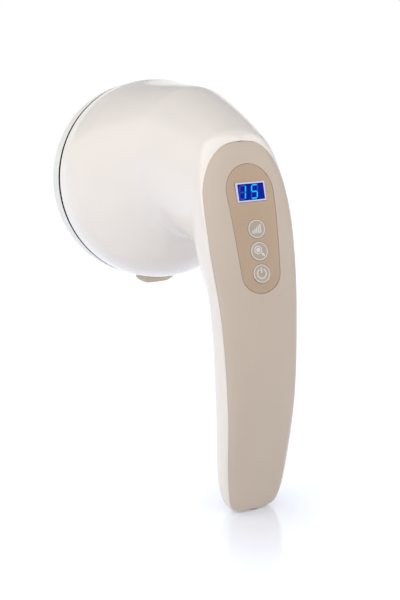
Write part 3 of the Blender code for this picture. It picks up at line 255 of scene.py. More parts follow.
# A grey card that only glossy surfaces show: its place behind and above the ball's centre, its lean from
# upright and its half size
CARD_PLACE = (0.09, 0.22)
CARD_LEAN = radians(26)
CARD_HALF_SIZE = (0.30, 0.14)
CARD_COLOUR = (0.56, 0.56, 0.57)
CARD_ROUGHNESS = 0.8
FLOOR_HALF_SIZE = 9.0
FLOOR_COLOUR = (0.80, 0.80, 0.84)
FLOOR_ROUGHNESS = 0.15
# The floor's own light is less round a spot before the handle's end, so that its reflection shows
FLOOR_OWN_LIGHT = (0.22, 0.55)
FLOOR_OWN_COLOUR = (0.72, 0.83, 1.0, 1)
FLOOR_LIGHT_SPOT = (0.0, 0.080, 0)
FLOOR_LIGHT_REACH = (0.015, 0.070)
FLOOR_IOR = 3.0


# The skin of ball and handle

def skin_sections():
    """All rows in metres round the ball's centre, from the seam to the handle's end."""
    axis = np.array((-cos(FACE_TILT), -sin(FACE_TILT)))
    down = np.array((sin(FACE_TILT), -cos(FACE_TILT)))
    radius = sqrt(BALL_RADIUS ** 2 - SEAM_PLANE ** 2)
    rows = [(*(down * radius + axis * SEAM_PLANE), *(axis * SEAM_PLANE - down * radius), radius, 0.5, 2.0)]
    for low_angle, high_angle in BALL_SECTION_ANGLES:
        low, high = radians(low_angle), radians(high_angle)
        lower = np.array((BALL_RADIUS * sin(low), -BALL_RADIUS * cos(low)))
        upper = np.array((BALL_RADIUS * sin(high), BALL_RADIUS * cos(high)))
        rows.append((*lower, *upper, hypot(*(upper - lower)) / 2, 0.5, 2.0))
    neck_sizes = (BALL_RADIUS,) * 5 + (1, 1)
    handle_sizes = (HANDLE_DEPTH, HANDLE_HEIGHT) * 2 + (HANDLE_HALF_WIDTH, 1, 1)
    return np.concatenate((rows, np.array(NECK_SHARES) * neck_sizes, np.array(HANDLE_SHARES) * handle_sizes))


SECTIONS = skin_sections()
LAST = len(SECTIONS) - 1
NECK_END = len(BALL_SECTION_ANGLES) + len(NECK_SHARES)


def sections_at(stations):
    """One section for each station, by Catmull-Rom through the rows."""
    stations = np.asarray(stations, dtype=float)
    index = np.clip(stations.astype(int), 0, LAST - 1)
    along = (stations - index)[..., None]
    here, after = SECTIONS[index], SECTIONS[index + 1]
    before = np.where((index > 0)[..., None], SECTIONS[np.maximum(index - 1, 0)], 2 * here - after)
    beyond = np.where((index < LAST - 1)[..., None], SECTIONS[np.minimum(index + 2, LAST)], 2 * after - here)
    return 0.5 * (2 * here + (after - before) * along
                  + (2 * before - 5 * here + 4 * after - beyond) * along ** 2
                  + (3 * here - before - 3 * after + beyond) * along ** 3)


def skin(stations, turns):
    """Points of the skin in the row's frame, one for each pair of station and turn."""
    stations, turns = np.broadcast_arrays(np.asarray(stations, float), np.asarray(turns, float))
    section = sections_at(stations)
    low_y, low_z, high_y, high_z, half_width, place, squareness = np.moveaxis(section, -1, 0)
    power = 2 / squareness
    across = np.abs(np.sin(turns)) ** power * np.sign(np.sin(turns))
    along = np.abs(np.cos(turns)) ** power
    middle_y, middle_z = low_y + (high_y - low_y) * place, low_z + (high_z - low_z) * place
    up = np.cos(turns) > 0
    end_y, end_z = np.where(up, high_y, low_y), np.where(up, high_z, low_z)
    points = np.stack((half_width * across, middle_y + (end_y - middle_y) * along,
                       middle_z + (end_z - middle_z) * along), axis=-1)
    points += np.array(BALL_CENTRE)
    # The CAD's facets lie a little inside the curve at the handle's back, and so does this skin
    reach = np.clip((points[..., 1] - BACK_START) / (CAD_HIGH[1] - BACK_START), 0, 1)
    points[..., 1] -= BACK_INSET * reach ** 2
    return points


def skin_normals(stations, turns):
    stations, turns = np.broadcast_arrays(np.asarray(stations, float), np.asarray(turns, float))
    step = 0.02
    length = skin(np.minimum(stations + step, LAST), turns) - skin(np.maximum(stations - step, 0), turns)
    around = skin(stations, turns + step) - skin(stations, turns - step)
    normals = np.cross(around, length)
    return normals / np.linalg.norm(normals, axis=-1, keepdims=True)


# Lengths along the handle's outer line, by station
STEPS_PER_SECTION = 40
LINE_STATIONS = np.linspace(0, LAST, STEPS_PER_SECTION * LAST + 1)
LINE_STEPS = np.linalg.norm(np.diff(skin(LINE_STATIONS, 0), axis=0), axis=1)
LINE_LENGTHS = np.concatenate(([0], np.cumsum(LINE_STEPS)))
COVER_START = float(np.interp(NECK_END, LINE_STATIONS, LINE_LENGTHS)) + COVER_TOP
COVER_LENGTH = float(LINE_LENGTHS[-1]) - COVER_START - COVER_FOOT_MARGIN


def station_from_top(distance):
    return np.interp(COVER_START + np.asarray(distance, float), LINE_LENGTHS, LINE_STATIONS)


def turn_across(stations, x):
    section = sections_at(stations)
    share = np.minimum(np.abs(x) / section[..., 4], 1.0) ** (section[..., 6] / 2)
    return np.arcsin(share) * np.sign(x)


def round_end(distance, length, squareness=2.0):
    rest = 1 - np.clip(np.asarray(distance, float) / length, 0.0, 1.0)
    return (1 - rest ** squareness) ** (1 / squareness)


def cover_half_width(distance):
    places, shares = zip(*COVER_EDGE_SHARES)
    edge = np.interp(np.asarray(distance, float) / COVER_LENGTH, places, shares)
    width = sections_at(station_from_top(distance))[..., 4]
    return width * edge * round_end(distance, COVER_TOP_ROUND, COVER_TOP_SQUARENESS)


def inlay_half_width(distance):
    along = np.asarray(distance, float) / INLAY_LENGTH
    taper = INLAY_HALF_WIDTH - INLAY_FOOT_HALF_WIDTH
    side = INLAY_HALF_WIDTH - taper * np.clip(along, 0, 1) ** INLAY_TAPER_POWER
    return side * round_end(distance, INLAY_TOP_ROUND) * round_end(INLAY_LENGTH - distance, INLAY_FOOT_ROUND)


def eased(count, start, end, ease_start=True, ease_end=True):
    turns = np.linspace(0.0 if ease_start else pi / 2, pi if ease_end else pi / 2, count)
    waves = -np.cos(turns)
    return start + (end - start) * (waves - waves[0]) / (waves[-1] - waves[0])


# Meshes and objects

def add_object(name, mesh, material, sharp=SHARP_ANGLE):
    mesh.shade_smooth()
    mesh.set_sharp_from_angle(angle=radians(sharp))
    mesh.materials.append(material)
    made = bpy.data.objects.new(name, mesh)
    bpy.context.scene.collection.objects.link(made)
    return made


def mesh_of(bm, name):
    mesh = bpy.data.meshes.new(name)
    bm.to_mesh(mesh)
    bm.free()
    return mesh


def grid_mesh(name, grid, around=False, caps=(False, False)):
    """Faces between rows of points. around joins each row's ends, caps close the first and last row."""
    rows, columns = grid.shape[:2]
    points = [tuple(point) for row in grid for point in row]
    faces = []
    for row in range(rows - 1):
        for column in range(columns if around else columns - 1):
            after = (column + 1) % columns
            faces.append((row * columns + column, row * columns + after,
                          (row + 1) * columns + after, (row + 1) * columns + column))
    if caps[0]:
        faces.append(tuple(range(columns)))
    if caps[1]:
        faces.append(tuple(range((rows - 1) * columns, rows * columns)))
    mesh = bpy.data.meshes.new(name)
    mesh.from_pydata(points, [], faces)
    bm = bmesh.new()
    bm.from_mesh(mesh)
    bmesh.ops.remove_doubles(bm, verts=bm.verts, dist=1e-6)
    bmesh.ops.recalc_face_normals(bm, faces=bm.faces)
    bm.to_mesh(mesh)
    bm.free()
    return mesh


def face_out(mesh, outward):
    """Turns the faces over if they look away from outward in the mean."""
    total = sum((face.normal.dot(outward(face.center)) * face.area for face in mesh.polygons), 0.0)
    if total < 0:
        mesh.flip_normals()


def bake(target):
    """Applies the modifiers to the mesh."""
    graph = bpy.context.evaluated_depsgraph_get()
    mesh = bpy.data.meshes.new_from_object(target.evaluated_get(graph))
    target.modifiers.clear()
    target.data = mesh


def thicken(target, thickness):
    """Gives a sheet a wall, inwards."""
    modifier = target.modifiers.new("wall", "SOLIDIFY")
    modifier.thickness = thickness
    modifier.offset = -1.0
    bake(target)


def cut(target, *meshes):
    """Cuts the closed meshes out of the target, one by one."""
    for index, mesh in enumerate(meshes):
        tool = bpy.data.objects.new(f"tool_{index}", mesh)
        bpy.context.scene.collection.objects.link(tool)
        modifier = target.modifiers.new(f"cut_{index}", "BOOLEAN")
        modifier.object = tool
        modifier.solver = "EXACT"
        bake(target)
        bpy.data.objects.remove(tool, do_unlink=True)
    target.data.shade_smooth()
    target.data.set_sharp_from_angle(angle=radians(SHARP_ANGLE))


def cylinder_mesh(matrix, radius, low, high, sides):
    bm = bmesh.new()
    place = matrix @ Matrix.Translation((0, 0, (low + high) / 2))
    bmesh.ops.create_cone(bm, cap_ends=True, segments=sides, radius1=radius, radius2=radius,
                          depth=high - low, matrix=place)
    return mesh_of(bm, "cylinder")


def block_mesh(matrix, size, centre, round_by=0.0):
    bm = bmesh.new()
    bmesh.ops.create_cube(bm, size=1.0, matrix=Matrix.Translation(centre) @ Matrix.Diagonal((*size, 1.0)))
    if round_by:
        bmesh.ops.bevel(bm, geom=bm.edges[:], offset=round_by, segments=3, profile=0.5, affect="EDGES")
    bm.transform(matrix)
    return mesh_of(bm, "block")


def turned_mesh(name, matrix, profile, steps, closed=True):
    """A profile of (radius, height) turned round the matrix's Z axis."""
    turns = np.linspace(0, 2 * pi, steps, endpoint=False)
    rows = profile + [profile[0]] if closed else profile
    grid = np.array([[(radius * cos(turn), radius * sin(turn), height) for turn in turns]
                     for radius, height in rows])
    mesh = grid_mesh(name, grid, around=True)
    mesh.transform(matrix)
    if matrix.determinant() < 0:
        mesh.flip_normals()
    return mesh


def arc(centre, radius, start, end, count):
    """Points on an arc, angles in degrees from the first axis to the second."""
    return [(centre[0] + radius * cos(radians(angle)), centre[1] + radius * sin(radians(angle)))
            for angle in np.linspace(start, end, count)]


# Frames

HEAD = Matrix.Translation(BALL_CENTRE) @ Matrix.Rotation(pi / 2 + FACE_TILT, 4, "X")


def panel_matrix():
    """The display's frame: right, up to the neck and out of the handle."""
    centre = Vector(skin(station_from_top(DISPLAY_FROM_TOP), 0))
    last_key_distance = KEY_FROM_TOP + KEY_PITCH * (len(KEYS) - 1)
    last_key = Vector(skin(station_from_top(last_key_distance), 0))
    up = (centre - last_key).normalized()
    right = Vector((-1, 0, 0))
    out = right.cross(up)
    return Matrix.Translation(centre) @ Matrix((right, up, out)).transposed().to_4x4()


PANEL = panel_matrix()


def panel_place(distance):
    """The place in the panel's frame at this distance from the cover's top."""
    return PANEL.inverted() @ Vector(skin(station_from_top(distance), 0))


def key_place(index):
    return panel_place(KEY_FROM_TOP + KEY_PITCH * index)


# Materials

def fill(node, values):
    for socket, value in values.items():
        node.inputs[socket].default_value = value


def scaled(nodes, links, value, low, high, reach=(0, 1)):
    """The value mapped from its reach to low and high."""
    mapped = nodes.new("ShaderNodeMapRange")
    fill(mapped, {"From Min": reach[0], "From Max": reach[1], "To Min": low, "To Max": high})
    links.new(value, mapped.inputs["Value"])
    return mapped.outputs["Result"]


def calculated(nodes, links, operation, first, second):
    node = nodes.new("ShaderNodeMath")
    node.operation = operation
    links.new(first, node.inputs[0])
    links.new(second, node.inputs[1])
    return node.outputs["Value"]


class Surface:
    """A Principled material with a node tree of its own."""

    def __init__(self, name, colour, roughness, metallic=0.0, coat=0.0, coat_roughness=0.1, specular=0.5):
        self.material = bpy.data.materials.new(name)
        self.material.use_nodes = True
        self.nodes = self.material.node_tree.nodes
        self.links = self.material.node_tree.links
        self.shader = self.nodes["Principled BSDF"]
        fill(self.shader, {"Base Color": (*colour, 1), "Roughness": roughness, "Metallic": metallic,
                           "Coat Weight": coat, "Coat Roughness": coat_roughness,
                           "Specular IOR Level": specular})
        self.colour = colour
        self.place = self.nodes.new("ShaderNodeTexCoord").outputs["Object"]
        self.height = None

    def noise(self, scale, detail=3.0, roughness=0.5, stretch=(1, 1, 1)):
        mapping = self.nodes.new("ShaderNodeMapping")
        mapping.inputs["Scale"].default_value = stretch
        self.links.new(self.place, mapping.inputs["Vector"])
        noise = self.nodes.new("ShaderNodeTexNoise")
        fill(noise, {"Scale": scale, "Detail": detail, "Roughness": roughness})
        self.links.new(mapping.outputs["Vector"], noise.inputs["Vector"])
        return noise.outputs["Fac"]

    def spread(self, value, low, high):
        """The middle range of a noise, mapped to low and high."""
        return scaled(self.nodes, self.links, value, low, high, (0.3, 0.7))

    def vary_colour(self, value, amount, tint=(1, 1, 1)):
        """The base colour, a little darker where value is low and lighter where it is high."""
        mix = self.nodes.new("ShaderNodeMix")
        mix.data_type = "RGBA"
        mix.clamp_factor = True
        low = [channel * (1 - amount) for channel in self.colour]
        high = [min(channel * (1 + amount) * share, 1.0) for channel, share in zip(self.colour, tint)]
        fill(mix, {"A": (*low, 1), "B": (*high, 1)})
        self.links.new(self.spread(value, 0, 1), mix.inputs["Factor"])
        self.links.new(mix.outputs["Result"], self.shader.inputs["Base Color"])
        return self

    def vary_roughness(self, value, low, high):
        self.links.new(self.spread(value, low, high), self.shader.inputs["Roughness"])
        return self

    def bump(self, value, distance):
        """A bump of this height in metres, added to those already there."""
        node = self.nodes.new("ShaderNodeBump")
        node.inputs["Distance"].default_value = distance
        self.links.new(value, node.inputs["Height"])
        if self.height is not None:
            self.links.new(self.height, node.inputs["Normal"])
        self.height = node.outputs["Normal"]
        self.links.new(self.height, self.shader.inputs["Normal"])
        return self


def moulded(name, colour, roughness, grain=0.000012, coat=0.0, specular=0.5):
    """Moulded plastic: faint flow marks in the colour and a fine spark-eroded grain."""
    surface = Surface(name, colour, roughness, coat=coat, specular=specular)
    surface.vary_colour(surface.noise(38, 2), 0.018)
    surface.vary_roughness(surface.noise(120, 4), roughness * 0.88, roughness * 1.12)
    surface.bump(surface.noise(2200, 2, 0.6), grain)
    return surface.material


def pearl():
    """Glossy cream moulding under a clear coat, with the slight waviness of a sprayed lacquer."""
    surface = Surface("pearl_lacquer", (0.745, 0.690, 0.645), 0.42, coat=1.0, coat_roughness=0.13,
                      specular=0.4)
    surface.shader.inputs["Coat IOR"].default_value = 1.75
    surface.vary_colour(surface.noise(26, 3), 0.012, (1.0, 0.995, 0.985))
    surface.vary_roughness(surface.noise(90, 3), 0.38, 0.46)
    surface.bump(surface.noise(420, 2, 0.4), 0.000006)
    surface.bump(surface.noise(3600, 1, 0.5), 0.0000015)
    return surface.material


def metal(name, colour, roughness, stretch=(1, 1, 1), scale=900, grain=0.000004):
    surface = Surface(name, colour, roughness, metallic=1.0)
    surface.vary_colour(surface.noise(140, 3), 0.05)
    surface.vary_roughness(surface.noise(scale, 3, stretch=stretch), roughness * 0.8, roughness * 1.25)
    surface.bump(surface.noise(scale * 1.4, 2, stretch=stretch), grain)
    return surface.material


PEARL = pearl()
RING_WHITE = moulded("ring_plastic", (0.68, 0.675, 0.645), 0.34, grain=0.000006, coat=0.2)
BEIGE = moulded("beige_cover_plastic", (0.532, 0.445, 0.366), 0.42, grain=0.00001)
TAN = moulded("tan_panel_plastic", (0.440, 0.320, 0.225), 0.40, grain=0.00001)
BUTTON_BEIGE = moulded("button_plastic", (0.60, 0.52, 0.40), 0.38)
KEY = moulded("key_plastic", (0.400, 0.335, 0.275), 0.36, grain=0.000008)
SEAL = moulded("seal_rubber", (0.006, 0.007, 0.006), 0.90, grain=0.00002, specular=0.03)
FRAME = moulded("display_frame_plastic", (0.62, 0.60, 0.74), 0.30)
NYLON = moulded("nylon", (0.70, 0.68, 0.62), 0.48)
HEAD_PLASTIC = moulded("head_plastic", (0.74, 0.71, 0.66), 0.30, coat=0.3)
DARK = moulded("dark_plastic", (0.028, 0.028, 0.032), 0.45)
PRINT = moulded("silver_print", (0.66, 0.63, 0.60), 0.32, grain=0.000004)
STEEL = metal("polished_steel", (0.62, 0.62, 0.64), 0.10, scale=500, grain=0.000001)
GROUND_STEEL = metal("ground_steel", (0.58, 0.58, 0.60), 0.28, stretch=(1, 1, 8))
ZINC = metal("zinc_plate", (0.52, 0.53, 0.56), 0.36)


def circuit_board():
    """Green mask with a faint weave of glass cloth and lighter copper below."""
    surface = Surface("circuit_board", (0.025, 0.16, 0.06), 0.35, coat=0.3)
    surface.vary_colour(surface.noise(700, 1, stretch=(1, 6, 1)), 0.20)
    surface.bump(surface.noise(1500, 1, stretch=(6, 1, 1)), 0.00001)
    return surface.material


def cell_film():
    surface = Surface("cell_film", (0.045, 0.14, 0.38), 0.30, coat=0.4)
    surface.vary_colour(surface.noise(60, 2), 0.06)
    surface.bump(surface.noise(300, 2, stretch=(1, 1, 0.2)), 0.00002)
    return surface.material


def glow(name, colour, strength, base):
    """The window or a segment: even light with a soft mottle."""
    surface = Surface(name, base, 0.45, specular=0.03)
    surface.vary_colour(surface.noise(900, 2), 0.05)
    fill(surface.shader, {"Emission Color": (*colour, 1), "Emission Strength": strength})
    surface.bump(surface.noise(1500, 1), 0.000001)
    return surface.material


BOARD = circuit_board()
FILM = cell_film()
WINDOW = glow("display_blue", (0.001, 0.014, 0.34), 0.90, (0.001, 0.002, 0.02))
LIT = glow("segment_lit", (0.020, 0.54, 1.0), 1.0, (0.0, 0.02, 0.04))
UNLIT = glow("segment_unlit", (0.030, 0.070, 0.46), 0.90, (0.005, 0.008, 0.03))


# Ball and handle

def distance_to(points, edge):
    """Each point's distance to the nearest point of an edge."""
    nearest = np.full(len(points), np.inf)
    for edge_point in edge:
        nearest = np.minimum(nearest, np.linalg.norm(points - edge_point, axis=1))
    return nearest


def cover_distances(top, middle, foot):
    """Distances from the cover's top to its foot, this many in each of its stretches."""
    foot_start = COVER_LENGTH - COVER_FOOT_REACH
    return np.concatenate((eased(top, TIP, COVER_TOP_ROUND, ease_end=False),
                           np.linspace(COVER_TOP_ROUND, foot_start, middle)[1:],
                           eased(foot, foot_start, COVER_LENGTH - TIP, ease_start=False)[1:]))


def station_at(length):
    return float(np.interp(length, LINE_LENGTHS, LINE_STATIONS))


def body_rows():
    """Stations of the body's rows, each with the turn at which the cover's opening ends."""
    rows = [(station_at(length), 0.0) for length in np.linspace(0, COVER_START - FINE_GAP, 84)]
    for distance in cover_distances(34, 96, 14):
        half = float(cover_half_width(distance)) * foot_share(distance) + FINE_GAP
        shift = FINE_GAP * (1 if distance > COVER_LENGTH / 2 else -1) * edge_shift(distance)
        station = float(station_from_top(distance + shift))
        rows.append((station, float(turn_across(station, half))))
    foot = COVER_START + COVER_LENGTH + FINE_GAP
    rows += [(station_at(length), 0.0) for length in np.linspace(foot + TIP, float(LINE_LENGTHS[-1]), 6)]
    return rows


def foot_share(distance):
    """The cover's lower corners are rounded."""
    return float(round_end(COVER_LENGTH - distance, COVER_FOOT_ROUND, COVER_FOOT_SQUARENESS))


def edge_shift(distance):
    """The gap is taken along the handle only at the rounded ends."""
    at_top = distance < COVER_TOP_ROUND / 3
    at_foot = distance > COVER_LENGTH - COVER_FOOT_REACH / 2
    return 1.0 if at_top or at_foot else 0.0


def socket_centre():
    """The middle of the charging inlet's mouth, on the handle's end."""
    lower, upper = skin(LAST, pi), skin(LAST, 0)
    y = SOCKET_BACK_SHARE * HANDLE_DEPTH + BALL_CENTRE.y
    share = (y - lower[1]) / (upper[1] - lower[1])
    return lower + (upper - lower) * share


def end_rows(rim):
    """Rows from the handle's last one in to the charging inlet's round mouth."""
    angles = np.linspace(0, 2 * pi, len(rim))[:, None]
    along = skin(LAST, 0) - skin(LAST, pi)
    along /= np.linalg.norm(along)
    across = np.array((1.0, 0, 0))
    circle = np.cos(angles) * along + np.sin(angles) * across
    mouth = socket_centre() + (SOCKET_RADIUS + SOCKET_GAP) * circle
    out = np.cross(across, along)
    if out[2] > 0:
        out = -out
    return [rim + (mouth - rim) * share + out * bulge
            for share, bulge in zip(END_ROW_SHARES, END_ROW_BULGES)]


def build_body():
    rows = body_rows()
    columns = 144
    stations = np.array([station for station, _ in rows])[:, None]
    turns = np.array([np.linspace(reach, 2 * pi - reach, columns + 1) for _, reach in rows])
    points, normals = skin(stations, turns), skin_normals(stations, turns)
    open_rows = [row for row, (_, reach) in enumerate(rows) if reach > 0]
    edge = np.concatenate((points[open_rows, 0], points[open_rows, -1]))
    away = distance_to(points.reshape(-1, 3), edge).reshape(points.shape[:2])
    dip = EDGE_DIP * np.clip(1 - away / EDGE_DIP_REACH, 0, 1) ** 2
    grid = list(points - normals * dip[..., None])
    grid += end_rows(grid[-1])
    mesh = grid_mesh("ball_and_handle", np.array(grid))
    face_out(mesh, lambda point: Vector((point.x, 0, 0)))
    body = add_object("ball_and_handle", mesh, PEARL)
    thicken(body, SHELL_WALL)
    for vertex in body.data.vertices:
        vertex.co.z = max(vertex.co.z, BOX_MARGIN)
    body.data.shade_smooth()
    body.data.set_sharp_from_angle(angle=radians(BODY_SHARP_ANGLE))
    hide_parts("body_shell")
    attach(body, "housing")


# Grip cover and inlay

def patch(distances, half_widths, columns, lift):
    """Rows of points over the skin, lifted by lift(distance to the edge)."""
    stations = station_from_top(distances)
    reach = turn_across(stations, half_widths)
    shares = np.sin(np.linspace(-pi / 2, pi / 2, columns + 1))
    turns = reach[:, None] * shares[None, :]
    points, normals = skin(stations[:, None], turns), skin_normals(stations[:, None], turns)
    edge = np.concatenate((points[0], points[-1], points[:, 0], points[:, -1]))
    rise = lift(distance_to(points.reshape(-1, 3), edge)).reshape(points.shape[:2])
    return points + normals * rise[..., None]


def rounded(radius, depth):
    """A lift that falls by depth to the edge over a quarter round of radius."""
    def lift(away):
        rest = 1 - np.clip(away / radius, 0, 1)
        return -depth * (1 - np.sqrt(np.maximum(1 - rest ** 2, 0)))
    return lift


def cover_lift(away):
    """A small rounded edge, and a soft band inside it that rises to the cover's face."""
    edge = rounded(COVER_EDGE_ROUND, COVER_EDGE_DROP)(away)
    band = -COVER_BAND_DROP * (1 - np.clip(away / COVER_BAND_REACH, 0, 1)) ** COVER_BAND_POWER
    return edge + band


def sheet(name, grid, material, wall):
    """A piece on the handle's outer side, its wall inwards."""
    mesh = grid_mesh(name, grid)
    face_out(mesh, lambda point: Vector((point.x, 0.05, 0.01)))
    made = add_object(name, mesh, material)
    thicken(made, wall)
    return made


def display_tool(gap, depth):
    """The tool that cuts the display's opening."""
    size = (DISPLAY_WIDTH + 2 * gap, DISPLAY_HEIGHT + 2 * gap, 2 * depth)
    return block_mesh(PANEL, size, panel_place(DISPLAY_FROM_TOP))


def inlay_recess():
    """The tool that cuts the inlay's bed into the cover."""
    above = 0.002
    own = eased(48, TIP, INLAY_LENGTH - TIP)
    at_ends = np.abs(own / INLAY_LENGTH - 0.5) > 0.4
    shift = INLAY_GAP * np.sign(own - INLAY_LENGTH / 2) * at_ends
    grid = patch(INLAY_FROM_TOP + own + shift, inlay_half_width(own) + INLAY_GAP, 24,
                 lambda away: np.full(away.shape, above))
    holder = sheet("inlay_recess", grid, BEIGE, above + INLAY_THICKNESS)
    recess = holder.data
    bpy.data.objects.remove(holder, do_unlink=True)
    return recess


def build_cover():
    distances = cover_distances(40, 130, 16)
    widths = cover_half_width(distances) * np.array([foot_share(distance) for distance in distances])
    cover = sheet("handle_cover", patch(distances, widths, 72, cover_lift), BEIGE, COVER_WALL)
    tools = [inlay_recess(), display_tool(DISPLAY_GAP, OVERRUN)]
    for index in range(len(KEYS)):
        place = PANEL @ Matrix.Translation(key_place(index))
        tools.append(cylinder_mesh(place, STEM_RADIUS + STEM_GAP, -OVERRUN, OVERRUN, 32))
        tools.append(cylinder_mesh(place, KEY_RADIUS + KEY_POCKET_GAP, -KEY_POCKET_DEPTH, OVERRUN, 64))
    cut(cover, *tools)
    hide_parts("grip_cover")
    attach(cover, "housing")


def build_inlay():
    own = eased(72, TIP, INLAY_LENGTH - TIP)
    edge = rounded(INLAY_EDGE_ROUND, INLAY_EDGE_DROP)
    grid = patch(INLAY_FROM_TOP + own, inlay_half_width(own), 48, edge)
    inlay = sheet("inlay", grid, TAN, INLAY_THICKNESS - 2 * FINE_GAP)
    tools = [display_tool(DISPLAY_INLAY_GAP, OVERRUN_SHORT)]
    for index in range(len(KEYS)):
        place = PANEL @ Matrix.Translation(key_place(index))
        tools.append(cylinder_mesh(place, KEY_RADIUS + INLAY_GAP, -OVERRUN_SHORT, OVERRUN_SHORT, 96))
    cut(inlay, *tools)
    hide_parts("control_panel")
    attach(inlay, "housing")


# Display

def outline_solid(name, matrix, outline, low, high):
    """A flat outline made solid from low to high."""
    bm = bmesh.new()
    lower = [bm.verts.new((x, y, low)) for x, y in outline]
    upper = [bm.verts.new((x, y, high)) for x, y in outline]
    bm.faces.new(reversed(lower))
    bm.faces.new(upper)
    for index in range(len(outline)):
        after = (index + 1) % len(outline)
        bm.faces.new((lower[index], lower[after], upper[after], upper[index]))
    bmesh.ops.recalc_face_normals(bm, faces=bm.faces)
    bm.transform(matrix)
    return mesh_of(bm, name)


def joined(name, meshes):
    bm = bmesh.new()
    for mesh in meshes:
        bm.from_mesh(mesh)
    return mesh_of(bm, name)


SEGMENTS = {
    "a": ((0, 2), (1, 2)), "b": ((1, 2), (1, 1)), "c": ((1, 1), (1, 0)), "d": ((0, 0), (1, 0)),
    "e": ((0, 1), (0, 0)), "f": ((0, 2), (0, 1)), "g": ((0, 1), (1, 1)),
}
DIGITS = {"1": "bc", "5": "afgcd"}


def segment_outline(corners):
    """The six points of a leaning digit's bar between two corners, each as column and row."""
    ends = []
    for column, row in corners:
        x, y = (column - 0.5) * DIGIT_WIDTH, (row - 1) * DIGIT_HEIGHT / 2
        ends.append(Vector((x + y * DIGIT_LEAN_SHARE, y)))
    along = (ends[1] - ends[0]).normalized()
    side = Vector((-along.y, along.x)) * SEGMENT_HALF_WIDTH
    inset = along * SEGMENT_HALF_WIDTH * SEGMENT_END_SHARE
    start, stop = ends[0] + inset, ends[1] - inset
    tip = along * SEGMENT_HALF_WIDTH * SEGMENT_TIP_SHARE
    return [start - tip, start - side, stop - side, stop + tip, stop + side, start + side]


def digit_segments(digit, centre, lit):
    """Flat bars of a seven-segment digit, those lit or those left dark."""
    meshes = []
    for name, corners in SEGMENTS.items():
        if (name in DIGITS[digit]) == lit:
            outline = [(point.x + centre[0], point.y + centre[1]) for point in segment_outline(corners)]
            meshes.append(outline_solid(name, PANEL, outline, DISPLAY_BULGE - SEGMENT_DEPTH,
                                        DISPLAY_BULGE + SEGMENT_PROUD))
    return meshes


def build_display():
    bottom = DISPLAY_BULGE - WINDOW_THICKNESS
    middle = (0, 0, (bottom + DISPLAY_BULGE) / 2)
    outer = block_mesh(PANEL, (DISPLAY_WIDTH, DISPLAY_HEIGHT, WINDOW_THICKNESS), middle,
                       FRAME_EDGE_ROUND)
    bezel = add_object("bezel", outer, FRAME)
    opening = (DISPLAY_WIDTH - 2 * FRAME_WALL, DISPLAY_HEIGHT - 2 * FRAME_WALL)
    cut(bezel, block_mesh(PANEL, (*opening, 2 * OVERRUN_SHORT), (0, 0, 0)))
    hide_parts("display_frame")
    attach(bezel, "housing")
    pane_size = (opening[0] - 2 * FINE_GAP, opening[1] - 2 * FINE_GAP, WINDOW_THICKNESS)
    pane = add_object("pane", block_mesh(PANEL, pane_size, middle, WINDOW_EDGE_ROUND), WINDOW)
    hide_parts("display_window")
    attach(pane, "housing")
    for name, lit, material in (("lit_segments", True, LIT), ("dark_segments", False, UNLIT)):
        meshes = [mesh for digit, centre in DIGIT_PLACES.items()
                  for mesh in digit_segments(digit, centre, lit)]
        shown = add_object(name, joined(name, meshes), material)
        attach(shown, "housing")


# Keys

def ring_mesh(matrix, inner, outer, low, high, start=0.0, end=360.0):
    """A flat ring or part of one."""
    section = ((inner, low), (outer, low), (outer, high), (inner, high))
    grid = [[(radius * cos(angle), radius * sin(angle), height) for radius, height in section]
            for angle in np.radians(np.linspace(start, end, 73))]
    part = end - start < 360
    mesh = grid_mesh("ring", np.array(grid), around=True, caps=(part, part))
    mesh.transform(matrix)
    return mesh


def upright_bar(matrix, x, low_y, high_y, half, low, high):
    """An upright bar with round ends."""
    outline = arc((x, high_y - half), half, 0, 180, 10) + arc((x, low_y + half), half, 180, 360, 10)
    return outline_solid("bar", matrix, outline, low, high)


def intensity_icon(matrix, low, high):
    """Five bars, each higher than the last."""
    half, first, pitch, foot, top, rise = 0.00036, -0.0022, 0.00106, -0.0022, -0.0005, 0.00070
    return [upright_bar(matrix, first + index * pitch, foot, top + index * rise, half, low, high)
            for index in range(5)]


def mode_icon(matrix, low, high):
    """A massage head, a disc in a ring, and its handle."""
    disc, inner, outer, handle, half = 0.0011, 0.0016, 0.0021, 0.0021, 0.00055
    head = matrix @ Matrix.Translation((-0.0006, 0.0007, 0))
    turned = matrix @ Matrix.Translation((0.0011, -0.0010, 0)) @ Matrix.Rotation(radians(45), 4, "Z")
    return [ring_mesh(head, inner, outer, low, high), ring_mesh(head, 0.0, disc, low, high),
            upright_bar(turned, 0, -handle, 0.0, half, low, high)]


def power_icon(matrix, low, high):
    """A ring open at its top, and a bar in the opening."""
    inner, outer, foot, top, half = 0.0021, 0.0027, 0.0002, 0.0031, 0.00032
    return [ring_mesh(matrix, inner, outer, low, high, 120, 420),
            upright_bar(matrix, 0, foot, top, half, low, high)]


ICONS = {"intensity": intensity_icon, "mode": mode_icon, "power": power_icon}


def key_print(key, matrix, low, high):
    border, inset = 0.00048, 0.00014
    outer = KEY_RADIUS - inset
    return [ring_mesh(matrix, outer - border, outer, low, high)] + ICONS[key](matrix, low, high)


